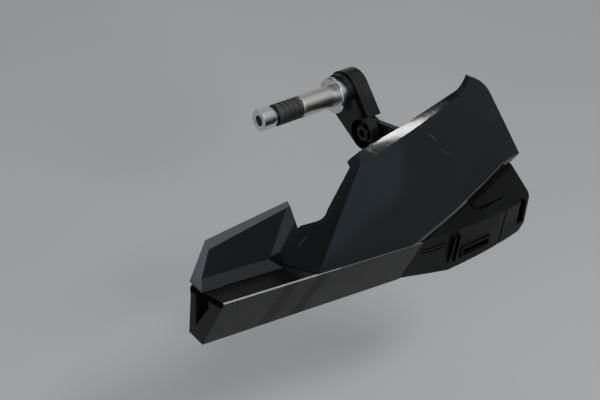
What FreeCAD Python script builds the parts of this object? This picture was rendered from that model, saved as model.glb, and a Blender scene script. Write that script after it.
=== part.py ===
import FreeCAD, Part
import math
import os

# Hand guard for the left end of a handlebar.
# Row frame: X along the handlebar and outboard, -Y towards the front of the bike, +Z up, and the
# origin on the handlebar's axis at its end face. Millimetres.
# The guard itself is drawn in its own upright frame: s runs outboard along it, f is the distance
# forward of the handlebar and z is up. That frame is then turned and moved into the row frame.

V = FreeCAD.Vector
REACH = 400.0

# Place of the guard's own frame
GUARD_YAW = 10.0
GUARD_OFFSET = 12.0

# Front faces: a nose line, faces that lean back above and below it, and a curve outboard
NOSE_F = 118.0
NOSE_Z = -70.0
NOSE_CHAMFER = 1.3
UPPER_LEAN = 0.325
PANEL_LEAN = 0.41
HOUSING_LEAN = 0.18
WRAP_START = 15.0
WRAP_RADIUS = 330.0

# Back of the guard: upright at first, then leaning back towards the tip
GUARD_DEPTH = 33.5
BACK_F = NOSE_F - GUARD_DEPTH
BACK_BEND_Z = 7.0
BACK_LEAN = 0.24

# Walls and joints between mouldings
SKIN = 2.6
SEAM = 0.7
FIT = 0.4
HOUSING_STEP = 1.6

# A point of an outline that is marked with this is the middle of an arc
ROUND = "round"

# Main face of the upper shell, as (s, z) on its leaning face; three numbers are (s, depth behind the nose, z)
MAIN_LEFT_LOW = (-86.0, NOSE_Z)
MAIN_LEFT_HIGH = (-41.0, -3.0)
WEB_FOOT = (-100.8, 21.0, NOSE_Z)
HEEL = (99.7, -33.6)
NOTCH = (90.2, -38.3)
TIP_RIGHT = (76.0, 15.1)
TIP_CORNER = (69.3, 25.3, ROUND)
TIP_TOP = (58.2, 32.7)
TIP_LEFT = (53.0, 35.4)

# Top edge of the main face, as (s, z) at the guard's back: a straight run, then a sweep up to the tip
TOP_START = (-41.0, -4.2)
TOP_BEND = (42.0, 22.4)
TOP_SWEEP = (51.5, 27.4, ROUND)
TOP_END = (56.0, 34.0)
TOP_RISE = 0.12
SKIRT_LOW = (11.8, -64.7)
SEAM_END_S = 5.0
SKIRT_CREASE = [(17.2, -59.4), (81.6, -33.9)]
SKIRT_TOP_Z = -33.0
SKIRT_FALL = 0.47
SKIRT_DEPTH = 11.0

# Wing of the upper shell, inboard of the window
WING_SETBACK = 22.0
WING_F = NOSE_F - WING_SETBACK
WING_Z = -66.0
WING_LEAN = 0.2
WING_TOP_LEFT = (-154.7, -43.1)
WING_TOP_RIGHT = (-94.9, -29.2)
WING_LOW_LEFT = (-162.9, -62.8)
WING_LOW_RIGHT = (-110.7, -59.9)
WING_LEFT_BACK = (-166.6, 30.0, -68.8)
WING_TOP_BACK = (-156.4, 32.0, -41.0)
VALLEY = (-86.6, 27.4, -49.4)
FOOT_SETBACK = 17.0
FOOT_TOP_Z = -62.0

# Window between the wing and the main face
WINDOW_TOP = 45.0
WINDOW = [(-92.2, WINDOW_TOP), (-92.2, -28.0), (-86.6, -49.4), (-75.6, -43.6), (-70.8, -40.4, ROUND),
          (-67.0, -35.6), (-47.2, -9.9), (-43.1, -6.6, ROUND), (-36.6, -3.2), (-36.6, WINDOW_TOP)]

# Lower panel: shelf, nose and lower front facet, with an open-ended hollow; (s, depth behind the nose, z)
PANEL_LEFT = [(-156.4, 0.0, NOSE_Z), (-166.5, 17.1, -111.8), (-162.4, 16.5, NOSE_Z)]
PANEL_BOTTOM = [(-166.5, 17.6, -112.9), (-6.0, 16.2, -109.4), (-171.0, 27.0, -110.0)]
PANEL_JOINT = [(0.0, NOSE_Z), (-8.0, -110.0)]
END_WALL = 3.0
END_HOLE = [(26.4, -74.6), (14.6, -73.4), (13.6, -80.5), (24.4, -100.0)]
END_HOLE_RUN = (-180.0, -148.0)

# Vent housing at the outboard end, as (s, z)
HOUSING_EDGE = [(-8.0, -109.8), (31.0, -109.6), (51.0, -107.6), (81.0, -105.2), (106.0, -103.6),
                (111.0, -97.0), (107.8, -70.0), (107.4, -65.7), (95.2, -46.1), (90.8, -39.4)]
HOUSING_FACET = [(0.0, 1.6, NOSE_Z), (-8.0, 17.8, -109.8), (31.0, 9.1, -109.6)]
GRILLE = [(41.0, -92.0), (67.0, -90.6), (67.5, -97.0), (42.0, -99.5)]
GRILLE_RIM = 1.4
END_SLOT = [(97.4, -67.6), (104.8, -71.0), (108.0, -94.4), (100.0, -95.0)]
GILL_HOOD = [(43.0, -52.4), (51.0, -58.4), (80.0, -57.6), (90.0, -45.0), (88.0, -40.6)]
GILL_PROUD = 2.2
GILL_SLOT = [(51.5, -59.0), (79.0, -58.0), (78.0, -60.4), (54.0, -61.8)]
LOUVRE_S = (3.0, 22.0)
LOUVRE_Z = (-79.5, -83.2)
LOUVRE_HEIGHT = 1.5
FIN_S = (28.6, 33.6)
FIN_TOP = -75.0
FIN_LENGTH = 26.0
FIN_THICKNESS = 1.5
FIN_PROUD = 3.0
GROOVE_S = 81.0
GROOVE_WIDTH = 1.3
GROOVE_DEPTH = 1.0

# Rear carrier
PLATE = 3.0
RIB = 2.2
RIB_DEPTH = 5.0
BORDER_INSET = 1.4
LUG_S = (-148.0, -112.0)
LUG_TOP = -57.5
LUG_WIDTH = 15.0
CARRIER_SIDE = [(-58.0, -64.0), (-29.0, -3.0)]
CARRIER_LOW = -107.4
PAD_DEPTH = 6.0
PAD_S = (-23.0, 31.0)
PAD_Z = (-47.0, -5.0)
PAD_CORNER = 7.0

# Screws into the mouldings, as (s, z)
SHELL_SCREWS = [(-42.0, -53.0), (-29.5, -19.0), (0.0, -57.0), (48.0, -40.0), (76.0, -34.0)]
WING_SCREWS = [(LUG_S[0], -64.5), (LUG_S[1], -64.5)]
PANEL_SCREWS = [(-142.0, -88.0), (-82.0, -90.0), (-26.0, -90.0)]
HOUSING_SCREWS = [(12.0, -98.0), (57.0, -79.0), (88.0, -84.0)]
SCREW_RADIUS = 2.0
SCREW_LENGTH = 12.0
SHORT_SCREW_LENGTH = 8.5
SCREW_HEAD_RADIUS = 4.2
SCREW_HEAD = 2.6
BOSS_RADIUS = 4.0
HOLE_FIT = 0.1

# Bar end, turned parts and the arm
PLUG_RADIUS = 8.6
PLUG_LENGTH = 32.0
SPACER_RADIUS = 14.2
SPACER_LENGTH = 7.0
SLEEVE_LENGTH = 22.0
SLEEVE_FIT = 0.3
SLEEVE_GROOVES = 4
SLEEVE_GROOVE_WIDTH = 1.6
SLEEVE_GROOVE_DEPTH = 0.7
CONE_LENGTH = 14.0
CONE_SMALL_RADIUS = 6.4
BOLT_RADIUS = 4.0
BOLT_HEAD_RADIUS = 6.5
BOLT_HEAD = 8.0
LOW_HEAD = 3.4
SOCKET_SHARE = 0.55
BOLT_FIT = 0.35
NUT_WIDTH = 13.0
NUT_HEIGHT = 6.5
WASHER_RADIUS = 8.0
WASHER = 1.6
KNUCKLE_WIDTH = 18.0
KNUCKLE_RADIUS = 16.6
KNUCKLE_HUB_RADIUS = 15.0
ARM_BOSS_WIDTH = 8.5
ARM_BOSS_Y = -28.0
ARM_BOSS_Z = -23.3
ARM_BOSS_RADIUS = 13.0
ARM_STEP = 5.0
ARM_STEP_INSET = 5.0
ARM_FRONT = 9.4
ARM_REAR = 12.4
ARM_CHAMFER = 1.2
POCKET_RADIUS = 11.4
POCKET_DEPTH = 6.0
RECESS_RADIUS = 8.6
RECESS_DEPTH = 10.0

# Bracket from the arm to the carrier
BRACKET = 5.0
EYE_RADIUS = 11.5
EYE_GAP = 1.2
BRACKET_TOP = [(-33.5, -13.2), (-55.0, -10.6), (-118.0, -8.0)]
BRACKET_LOW_Z = -38.0
BRACKET_FLANGE = 5.0
BRACKET_BOLTS = [(-14.0, -15.0), (7.0, -15.0), (-4.0, -37.0)]
INSERT_RADIUS = 4.6
INSERT_LENGTH = 10.0
BRACKET_BOLT_RADIUS = 3.0
BRACKET_BOLT_LENGTH = 16.0
BRACKET_HEAD_RADIUS = 5.6
BRACKET_HEAD = 4.2
BRACKET_WASHER = 1.4
BRACKET_WASHER_RADIUS = 6.4


def at(s, f, z):
    """A point of the guard's own frame"""
    return V(s, -f, z)


def nose_point(s, depth, z):
    """A point at a depth behind the nose line"""
    return at(s, NOSE_F - depth, z)


def to_row(shape):
    """Turn the guard's frame into the row frame"""
    moved = shape.copy()
    moved.rotate(V(0, 0, 0), V(0, 0, 1), -GUARD_YAW)
    moved.translate(V(GUARD_OFFSET, 0, 0))
    return moved


def wrap(s, radius=WRAP_RADIUS):
    """How far the front has curved back at s"""
    run = max(s - WRAP_START, 0.0)
    return radius - math.sqrt(radius * radius - run * run)


def face_point(s, z, lean=UPPER_LEAN, setback=0.0):
    """A point on a leaning front face"""
    return at(s, NOSE_F - setback - wrap(s) - lean * (z - NOSE_Z), z)


def front_block(lean, skin, setback, z_from, z_to):
    """Everything behind one leaning, curved front face, between two heights"""
    inset = setback + skin * math.sqrt(1 + lean * lean)
    front = -NOSE_F + inset
    radius = WRAP_RADIUS - inset
    far = WRAP_START + 0.6 * WRAP_RADIUS
    half = WRAP_START + 0.3 * WRAP_RADIUS
    corner = V(far, front + wrap(far, radius), 0)
    edges = [
        Part.makeLine(V(-REACH, front, 0), V(WRAP_START, front, 0)),
        Part.Arc(V(WRAP_START, front, 0), V(half, front + wrap(half, radius), 0), corner).toShape(),
        Part.makeLine(corner, V(far, REACH, 0)),
        Part.makeLine(V(far, REACH, 0), V(-REACH, REACH, 0)),
        Part.makeLine(V(-REACH, REACH, 0), V(-REACH, front, 0)),
    ]
    section = Part.Face(Part.Wire(edges))
    section.translate(V(0, lean * (z_from - NOSE_Z), z_from))
    return section.extrude(V(0, lean * (z_to - z_from), z_to - z_from))


def behind(points, inside, skin=0.0):
    """The side of a plane that holds the point inside, moved in by a wall"""
    a, b, c = points
    normal = (b - a).cross(c - a).normalize()
    if (inside - a).dot(normal) > 0:
        normal = normal * -1
    block = Part.makeBox(2 * REACH, 2 * REACH, REACH, V(-REACH, -REACH, -REACH))
    block.Placement = FreeCAD.Placement(a - normal * skin, FreeCAD.Rotation(V(0, 0, 1), normal))
    return block


def slab(f_from, f_to):
    """The space between two upright planes across the guard"""
    return Part.makeBox(2 * REACH, f_to - f_from, 2 * REACH, V(-REACH, -f_to, -REACH))


def in_front(f):
    """The space in front of a surface that bends as the guard's back does"""
    start = at(0, f, BACK_BEND_Z)
    tilted = [start, start + V(50, 0, 0), start + V(0, 50 * BACK_LEAN, 50)]
    upper = behind(tilted, at(0, f + 50, BACK_BEND_Z)).common(above(BACK_BEND_Z))
    return slab(f, REACH / 2).fuse(upper)


def layer(f_from, f_to):
    """The space between two surfaces that bend as the guard's back does"""
    return in_front(f_from).cut(in_front(f_to))


def above(z):
    """The space above a height"""
    return Part.makeBox(2 * REACH, 2 * REACH, REACH, V(-REACH, -REACH, z))


def below(z):
    """The space below a height"""
    return Part.makeBox(2 * REACH, 2 * REACH, REACH, V(-REACH, -REACH, z - REACH))


def outline_face(outline, f):
    """Flat face with an (s, z) outline, with an arc through each point marked as round"""
    points = [at(point[0], f, point[1]) for point in outline]
    marks = [len(point) == 3 for point in outline]
    count = len(points)
    edges = []
    for index in range(count):
        after = (index + 1) % count
        if marks[index]:
            edges.append(Part.Arc(points[index - 1], points[index], points[after]).toShape())
        elif not marks[after]:
            edges.append(Part.makeLine(points[index], points[after]))
    return Part.Face(Part.Wire(edges))


def prism(outline, skin=0.0, f_from=0.0, f_to=REACH / 2):
    """An (s, z) outline, moved in by a wall, swept along f"""
    face = outline_face(outline, f_to)
    if skin:
        face = Part.Face(face.makeOffset2D(-skin, 2).OuterWire)
    return face.extrude(V(0, f_to - f_from, 0))


def rod(s, z, radius, f_from, f_to):
    """A round bar along f"""
    return Part.makeCylinder(radius, f_to - f_from, at(s, f_from, z), V(0, -1, 0))


def main_outline():
    """Right and lower edges of the upper shell, open towards the left, top and bottom"""
    return [(SEAM_END_S, -REACH / 2), (SEAM_END_S, NOSE_Z), SKIRT_LOW, NOTCH, HEEL, TIP_RIGHT, TIP_CORNER,
            TIP_TOP, TIP_LEFT, (TIP_LEFT[0], REACH / 2), (-REACH / 2, REACH / 2), (-REACH / 2, -REACH / 2)]


def below_top(skin):
    """Everything below the top edge, which rises towards the back"""
    slope = (TOP_BEND[1] - TOP_START[1]) / (TOP_BEND[0] - TOP_START[0])
    far = -REACH / 2
    start = (far, TOP_START[1] + slope * (far - TOP_START[0]))
    face = outline_face([start, TOP_BEND, TOP_SWEEP, TOP_END, (TOP_END[0], REACH / 2), (REACH / 2, REACH / 2),
                         (REACH / 2, far), (far, far)], BACK_F)
    if skin:
        face = Part.Face(face.makeOffset2D(-skin, 2).OuterWire)
    face.translate(V(0, -REACH / 4, -REACH / 4 * TOP_RISE))
    return face.extrude(V(0, REACH / 2, REACH / 2 * TOP_RISE))


def skirt_block(skin):
    """Everything behind the skirt, which leaves the main face along its crease and curves with it"""
    (start_s, start_z), (end_s, end_z) = SKIRT_CREASE
    slope = (end_z - start_z) / (end_s - start_s)
    crease = []
    for s in (-REACH / 2, WRAP_START, 35.0, 55.0, 75.0, 90.0, 100.0, 115.0, 135.0):
        crease.append(face_point(s, min(start_z + slope * (s - start_s), SKIRT_TOP_Z)))
    line = Part.makeLine(crease[0], crease[1])
    curve = Part.BSplineCurve()
    curve.interpolate(crease[1:], InitialTangent=crease[1] - crease[0], FinalTangent=crease[-1] - crease[-2])
    fall = V(0, UPPER_LEAN - SKIRT_FALL, 1) * (REACH / 2)
    sheet = Part.Wire([line, curve.toShape()]).extrude(fall * 2)
    sheet.translate(fall * -1 + V(0, skin * math.sqrt(1 + SKIRT_FALL * SKIRT_FALL), 0))
    return sheet.extrude(V(0, REACH / 2, 0))


def main_form(skin):
    """Solid form of the main face with its left and top facets, moved in by a wall"""
    inside = at(20.0, BACK_F, -30.0)
    form = front_block(UPPER_LEAN, skin, 0.0, NOSE_Z - 8, 90.0)
    form = form.common(prism(main_outline(), skin))
    left = [face_point(*MAIN_LEFT_LOW), face_point(*MAIN_LEFT_HIGH), nose_point(*WEB_FOOT)]
    form = form.common(behind(left, inside, skin))
    form = form.common(below_top(skin))
    return form.common(skirt_block(skin))


def wing_point(s, z):
    """A point on the wing's leaning face"""
    return at(s, WING_F - WING_LEAN * (z - WING_Z), z)


def wing_form(skin):
    """Solid form of the wing and its foot, moved in by a wall"""
    inside = at(-120.0, BACK_F - 15, -60.0)
    face = [wing_point(-150, -60), wing_point(-100, -60), wing_point(-120, -30)]
    foot = [nose_point(-150, FOOT_SETBACK, NOSE_Z), nose_point(-100, FOOT_SETBACK, NOSE_Z),
            wing_point(-120, FOOT_TOP_Z)]
    form = behind(face, inside, skin).fuse(behind(foot, inside, skin))
    top = [wing_point(*WING_TOP_LEFT), wing_point(*WING_TOP_RIGHT), nose_point(*WING_TOP_BACK)]
    left = [wing_point(*WING_TOP_LEFT), wing_point(*WING_LOW_LEFT), nose_point(*WING_LEFT_BACK)]
    valley = [wing_point(*WING_LOW_RIGHT), wing_point(*WING_TOP_RIGHT), nose_point(*VALLEY)]
    for plane in (top, left, valley):
        form = form.common(behind(plane, inside, skin))
    box = Part.makeBox(REACH, REACH, REACH / 2, V(-REACH + WEB_FOOT[0] + 60, -REACH / 2, NOSE_Z - 8))
    return form.common(box)


def boss(s, z, form, f_from=BACK_F + PLATE):
    """Screw boss from the carrier to the middle of a wall"""
    return rod(s, z, BOSS_RADIUS, f_from, NOSE_F).common(form)


def pilot(s, z, length=SCREW_LENGTH):
    """Hole in a boss for its screw"""
    return rod(s, z, SCREW_RADIUS + HOLE_FIT / 2, BACK_F - 1, BACK_F + length + 0.5)


def upper_shell():
    """Gloss cover: main face, web and wing round the window, one moulding"""
    outer = main_form(0.0).fuse(wing_form(0.0))
    inner = main_form(SKIN).fuse(wing_form(SKIN))
    body = outer.cut(inner)
    body = body.cut(prism(WINDOW))
    rim = [(SEAM_END_S + 3, -90), (SKIRT_LOW[0] - 6, SKIRT_LOW[1] + 10), (NOTCH[0] - 8, NOTCH[1] + 8),
           (NOTCH[0] + 2, NOTCH[1] - 12)]
    relief = front_block(UPPER_LEAN, 0.0, SKIRT_DEPTH, NOSE_Z - 10, 90.0)
    body = body.cut(prism(rim).common(relief))
    middle = main_form(SKIN / 2)
    wing = wing_form(SKIN / 2)
    for s, z in SHELL_SCREWS:
        body = body.fuse(boss(s, z, middle))
    for s, z in WING_SCREWS:
        body = body.fuse(boss(s, z, wing))
    for s, z in SHELL_SCREWS:
        body = body.cut(pilot(s, z))
    for s, z in WING_SCREWS:
        body = body.cut(pilot(s, z, SHORT_SCREW_LENGTH))
    body = body.common(in_front(BACK_F))
    return body.common(above(NOSE_Z + SEAM)).removeSplitter()


def panel_form(skin, end):
    """Solid form of the lower panel, moved in by a wall"""
    inside = at(-80.0, BACK_F + GUARD_DEPTH / 3, -90.0)
    form = front_block(-PANEL_LEAN, skin, 0.0, -140.0, NOSE_Z)
    form = form.common(below(NOSE_Z - skin))
    left = [nose_point(*point) for point in PANEL_LEFT]
    form = form.common(behind(left, inside, end))
    bottom = [nose_point(*point) for point in PANEL_BOTTOM]
    form = form.common(behind(bottom, inside, skin))
    joint = [at(s, BACK_F, z) for s, z in PANEL_JOINT]
    joint.append(joint[0] + V(0, 20, 0))
    form = form.common(behind(joint, inside, skin))
    nose = [at(0, NOSE_F - NOSE_CHAMFER, NOSE_Z), at(-50, NOSE_F - NOSE_CHAMFER, NOSE_Z)]
    nose.append(at(0, NOSE_F, NOSE_Z - NOSE_CHAMFER))
    return form.common(behind(nose, inside, skin))


def panel_end_hole():
    """Opening in the inboard end wall"""
    corners = [nose_point(END_HOLE_RUN[0], depth, z) for depth, z in END_HOLE]
    wire = Part.makePolygon(corners + corners[:1])
    return Part.Face(wire).extrude(V(END_HOLE_RUN[1] - END_HOLE_RUN[0], 0, 0))


def lower_panel():
    """Satin moulding: shelf, nose and lower front facet"""
    body = panel_form(0.0, 0.0).cut(panel_form(SKIN, END_WALL))
    middle = panel_form(SKIN / 2, END_WALL / 2)
    for s, z in PANEL_SCREWS:
        body = body.fuse(boss(s, z, middle))
    for s, z in PANEL_SCREWS:
        body = body.cut(pilot(s, z))
    body = body.cut(panel_end_hole())
    return body.common(slab(BACK_F + PLATE, REACH / 2)).removeSplitter()


def housing_outline():
    """Edge of the vent housing, with a seam to the shell and the panel"""
    start = (PANEL_JOINT[0][0] + 2 * FIT, NOSE_Z)
    rise = (NOTCH[1] - SKIRT_LOW[1]) / (NOTCH[0] - SKIRT_LOW[0])
    low = (SKIRT_LOW[0] + 0.6, SKIRT_LOW[1] - SEAM)
    high = (HOUSING_EDGE[-1][0], low[1] + rise * (HOUSING_EDGE[-1][0] - low[0]))
    corner = (HOUSING_EDGE[0][0] + 2 * FIT, HOUSING_EDGE[0][1])
    return [start, corner] + HOUSING_EDGE[1:-1] + [high, low, (SEAM_END_S + 0.6, NOSE_Z)]


def housing_form(skin, setback=HOUSING_STEP):
    """Solid form of the vent housing, moved in by a wall"""
    upper = front_block(UPPER_LEAN, skin, setback, NOSE_Z, 0.0)
    lower = front_block(-HOUSING_LEAN, skin, setback, -140.0, NOSE_Z)
    facet = [nose_point(*point) for point in HOUSING_FACET]
    form = upper.fuse(lower).common(prism(housing_outline(), skin))
    return form.common(behind(facet, at(60.0, BACK_F, -90.0), skin))


def fin(s):
    """Upright fin beside the grille"""
    outline = [(s, FIN_TOP), (s + FIN_THICKNESS, FIN_TOP), (s + FIN_THICKNESS, FIN_TOP - FIN_LENGTH),
               (s, FIN_TOP - FIN_LENGTH)]
    proud = housing_form(0.0, HOUSING_STEP - FIN_PROUD).cut(housing_form(SKIN / 2))
    return prism(outline).common(proud)


def louvre(z):
    """Thin slot below the seam"""
    s_from, s_to = LOUVRE_S
    return prism([(s_from, z), (s_to, z + 1.5), (s_to, z + 1.5 - LOUVRE_HEIGHT), (s_from, z - LOUVRE_HEIGHT)])


def vent_housing():
    """Matte moulding with the gill, grille opening, fins and end slot"""
    body = housing_form(0.0).cut(housing_form(SKIN))
    hood = housing_form(0.0, HOUSING_STEP - GILL_PROUD).cut(housing_form(SKIN / 2))
    body = body.fuse(prism(GILL_HOOD).common(hood))
    rim = housing_form(0.0, HOUSING_STEP - GRILLE_RIM).cut(housing_form(SKIN / 2))
    body = body.fuse(prism(GRILLE, -GRILLE_RIM).common(rim))
    for s in FIN_S:
        body = body.fuse(fin(s))
    middle = housing_form(SKIN / 2)
    for s, z in HOUSING_SCREWS:
        body = body.fuse(boss(s, z, middle))
    for s, z in HOUSING_SCREWS:
        body = body.cut(pilot(s, z))
    for opening in (GRILLE, END_SLOT, GILL_SLOT):
        body = body.cut(prism(opening))
    for z in LOUVRE_Z:
        body = body.cut(louvre(z))
    groove = [(GROOVE_S, NOSE_Z), (GROOVE_S + GROOVE_WIDTH, NOSE_Z), (GROOVE_S + GROOVE_WIDTH, -120.0),
              (GROOVE_S, -120.0)]
    depth = housing_form(0.0).cut(housing_form(GROOVE_DEPTH))
    body = body.cut(prism(groove).common(depth))
    return body.common(slab(BACK_F + PLATE, REACH / 2)).removeSplitter()


def carrier_outline():
    """Lower part of the carrier, behind the panel and the housing"""
    left = PANEL_BOTTOM[2][0] + 2.0
    inboard = [(left + 10, NOSE_Z), (left + 8, NOSE_Z - 5), (left + 1.4, NOSE_Z - 6), (left + 1.6, -86.0),
               (left + 4.4, CARRIER_LOW), (PANEL_JOINT[1][0], CARRIER_LOW)]
    return inboard + HOUSING_EDGE[1:-1] + \
        [(NOTCH[0] + 0.5, NOTCH[1] - 4.0), (SKIRT_LOW[0], SKIRT_LOW[1] - 4.0), (SEAM_END_S, NOSE_Z)]


def carrier_form(inset):
    """Solid form of the carrier's outline, moved in by a wall"""
    side = [at(CARRIER_SIDE[0][0], 0, CARRIER_SIDE[0][1]), at(CARRIER_SIDE[1][0], 0, CARRIER_SIDE[1][1])]
    side.append(side[0] + V(0, REACH / 4, 0))
    main = main_form(SKIN + FIT + inset).common(behind(side, at(20.0, BACK_F, -30.0), inset))
    low = prism(carrier_outline(), 2 * FIT + inset)
    return main.fuse(low)


def lug(s, inset):
    """Tab of the carrier behind the wing"""
    half = LUG_WIDTH / 2 - inset
    return prism([(s - half, NOSE_Z - 6), (s + half, NOSE_Z - 6), (s + half, LUG_TOP - inset),
                  (s - half, LUG_TOP - inset)])


def rib(first, second):
    """Upright rib on the back of the carrier between two (s, z) points"""
    along = V(second[0] - first[0], 0, second[1] - first[1])
    across = V(-along.z, 0, along.x).normalize() * (RIB / 2)
    start = at(first[0], BACK_F + PLATE / 2, first[1])
    corners = [start + across, start + along + across, start + along - across, start - across]
    wire = Part.makePolygon(corners + corners[:1])
    return Part.Face(wire).extrude(V(0, REACH / 4, 0))


def carrier_ribs(bound):
    """Stiffening ribs: fans from the pad and a zigzag along the lower part"""
    centre = ((PAD_S[0] + PAD_S[1]) / 2, (PAD_Z[0] + PAD_Z[1]) / 2)
    ends = [(-70.0, -66.0), (-44.0, -10.0), (50.0, 30.0), (92.0, -20.0), (100.0, -60.0), (-20.0, -112.0),
            (40.0, -110.0)]
    ribs = [rib(centre, end) for end in ends]
    steps = [-168.0, -140.0, -112.0, -84.0, -56.0, -28.0, 0.0, 28.0, 56.0, 84.0, 104.0]
    levels = (-76.0, -108.0)
    for index in range(len(steps) - 1):
        first = (steps[index], levels[index % 2])
        second = (steps[index + 1], levels[(index + 1) % 2])
        ribs.append(rib(first, second))
    group = ribs[0]
    for one in ribs[1:]:
        group = group.fuse(one)
    return group.common(bound)


def rounded(s_range, z_range, corner, f_from, f_to):
    """Block with four rounded corners"""
    low = at(s_range[0], f_to, z_range[0])
    block = Part.makeBox(s_range[1] - s_range[0], f_to - f_from, z_range[1] - z_range[0], low)
    upright = [edge for edge in block.Edges if abs(edge.tangentAt(0).y) > 0.9]
    return block.makeFillet(corner, upright)


def rear_carrier():
    """Glass-filled frame behind the mouldings, with ribs and the bracket pad"""
    plate = layer(BACK_F, BACK_F + PLATE)
    behind_plate = layer(BACK_F - RIB_DEPTH, BACK_F)
    form = carrier_form(0.0)
    body = form.common(plate)
    border = carrier_form(BORDER_INSET).cut(carrier_form(BORDER_INSET + RIB)).common(behind_plate)
    body = body.fuse(border)
    body = body.fuse(carrier_ribs(carrier_form(BORDER_INSET).common(behind_plate)))
    for s in LUG_S:
        body = body.fuse(lug(s, 0.0).common(plate))
        body = body.fuse(lug(s, 0.0).cut(lug(s, RIB)).common(behind_plate).common(below(LUG_TOP)))
    pad = rounded(PAD_S, PAD_Z, PAD_CORNER, BACK_F - PAD_DEPTH, BACK_F + PLATE)
    body = body.fuse(pad)
    for s, z in BRACKET_BOLTS:
        body = body.fuse(rod(s, z, INSERT_RADIUS + 3.0, BACK_F, insert_end() + 2.0))
    for s, z in all_screws():
        body = body.fuse(rod(s, z, SCREW_HEAD_RADIUS + 2.2, BACK_F - RIB_DEPTH, BACK_F))
    for s, z in all_screws():
        body = body.cut(rod(s, z, SCREW_HEAD_RADIUS + 2 * HOLE_FIT, BACK_F - PAD_DEPTH - 1, BACK_F))
        body = body.cut(rod(s, z, SCREW_RADIUS + 3 * HOLE_FIT, BACK_F - 1, BACK_F + PLATE + 1))
    for s, z in BRACKET_BOLTS:
        body = body.cut(rod(s, z, INSERT_RADIUS + HOLE_FIT / 2, BACK_F - PAD_DEPTH - 1, insert_end()))
    return body.removeSplitter()


def all_screws():
    """Places of every screw that enters from behind"""
    return SHELL_SCREWS + WING_SCREWS + PANEL_SCREWS + HOUSING_SCREWS


def insert_end():
    """Front end of the threaded inserts"""
    return BACK_F - PAD_DEPTH + INSERT_LENGTH


def pan_screw(s, z, length):
    """Self-tapping pan-head screw, from behind"""
    shank = rod(s, z, SCREW_RADIUS, BACK_F, BACK_F + length)
    head = rod(s, z, SCREW_HEAD_RADIUS, BACK_F - SCREW_HEAD, BACK_F)
    head = head.makeFillet(1.0, [head.Edges[0] if head.Edges[0].CenterOfMass.y > head.CenterOfMass.y
                                 else head.Edges[2]])
    slot = Part.makeBox(4.4, 1.4, 0.9, at(s - 2.2, BACK_F - SCREW_HEAD + 1.2, z - 0.45))
    cross = Part.makeBox(0.9, 1.4, 4.4, at(s - 0.45, BACK_F - SCREW_HEAD + 1.2, z - 2.2))
    return shank.fuse(head).cut(slot).cut(cross)


def screws(places, length=SCREW_LENGTH):
    """A group of like screws"""
    return Part.makeCompound([to_row(pan_screw(s, z, length)) for s, z in places])


def threaded_inserts():
    """Knurled brass inserts in the carrier's pad"""
    group = []
    for s, z in BRACKET_BOLTS:
        start = BACK_F - PAD_DEPTH
        body = rod(s, z, INSERT_RADIUS, start, insert_end())
        groove = rod(s, z, INSERT_RADIUS + 1, start + 4, start + 6)
        groove = groove.cut(rod(s, z, INSERT_RADIUS - 0.6, start, start + 9))
        hole = rod(s, z, BRACKET_BOLT_RADIUS + HOLE_FIT / 2, start - 1, insert_end() + 1)
        group.append(to_row(body.cut(groove).cut(hole)))
    return Part.makeCompound(group)


def hexagon(width_radius, thickness):
    """Hexagonal block of a nut or head along +Z, by half its width across flats"""
    corner = width_radius / math.cos(math.radians(30))
    points = [V(corner * math.cos(math.radians(60 * i)), corner * math.sin(math.radians(60 * i)), 0)
              for i in range(7)]
    block = Part.Face(Part.makePolygon(points)).extrude(V(0, 0, thickness))
    dome = Part.makeCone(corner + thickness * 1.2, corner - 0.5, thickness)
    return block.common(dome)


def along(shape, base, direction):
    """Turn a shape drawn along +Z to a direction and move it to a point"""
    placed = shape.copy()
    placed.Placement = FreeCAD.Placement(base, FreeCAD.Rotation(V(0, 0, 1), direction))
    return placed


def flange_back():
    """Back face of the bracket's flange"""
    return BACK_F - PAD_DEPTH - BRACKET_FLANGE


def bracket_bolts():
    """Hexagon-head bolts that hold the bracket to the carrier"""
    group = []
    for s, z in BRACKET_BOLTS:
        seat = flange_back() - BRACKET_WASHER
        shank = rod(s, z, BRACKET_BOLT_RADIUS, seat, seat + BRACKET_BOLT_LENGTH)
        head = along(hexagon(BRACKET_HEAD_RADIUS, BRACKET_HEAD), at(s, seat, z), V(0, 1, 0))
        group.append(to_row(shank.fuse(head)))
    return Part.makeCompound(group)


def bracket_washers():
    """Washers under the bracket's bolts"""
    group = []
    for s, z in BRACKET_BOLTS:
        disc = rod(s, z, BRACKET_WASHER_RADIUS, flange_back() - BRACKET_WASHER, flange_back())
        hole = rod(s, z, BRACKET_BOLT_RADIUS + HOLE_FIT, flange_back() - 5, flange_back() + 1)
        group.append(to_row(disc.cut(hole)))
    return Part.makeCompound(group)


def arm_start():
    """Inboard face of the arm"""
    return SPACER_LENGTH


def knuckle_end():
    """Outboard face of the arm's knuckle"""
    return SPACER_LENGTH + KNUCKLE_WIDTH


def boss_end():
    """Outboard face of the arm's boss, where the bracket's eye sits"""
    return SPACER_LENGTH + ARM_BOSS_WIDTH


def bar(x, y, z, radius, length):
    """A round bar along +X"""
    return Part.makeCylinder(radius, length, V(x, y, z), V(1, 0, 0))


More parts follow.
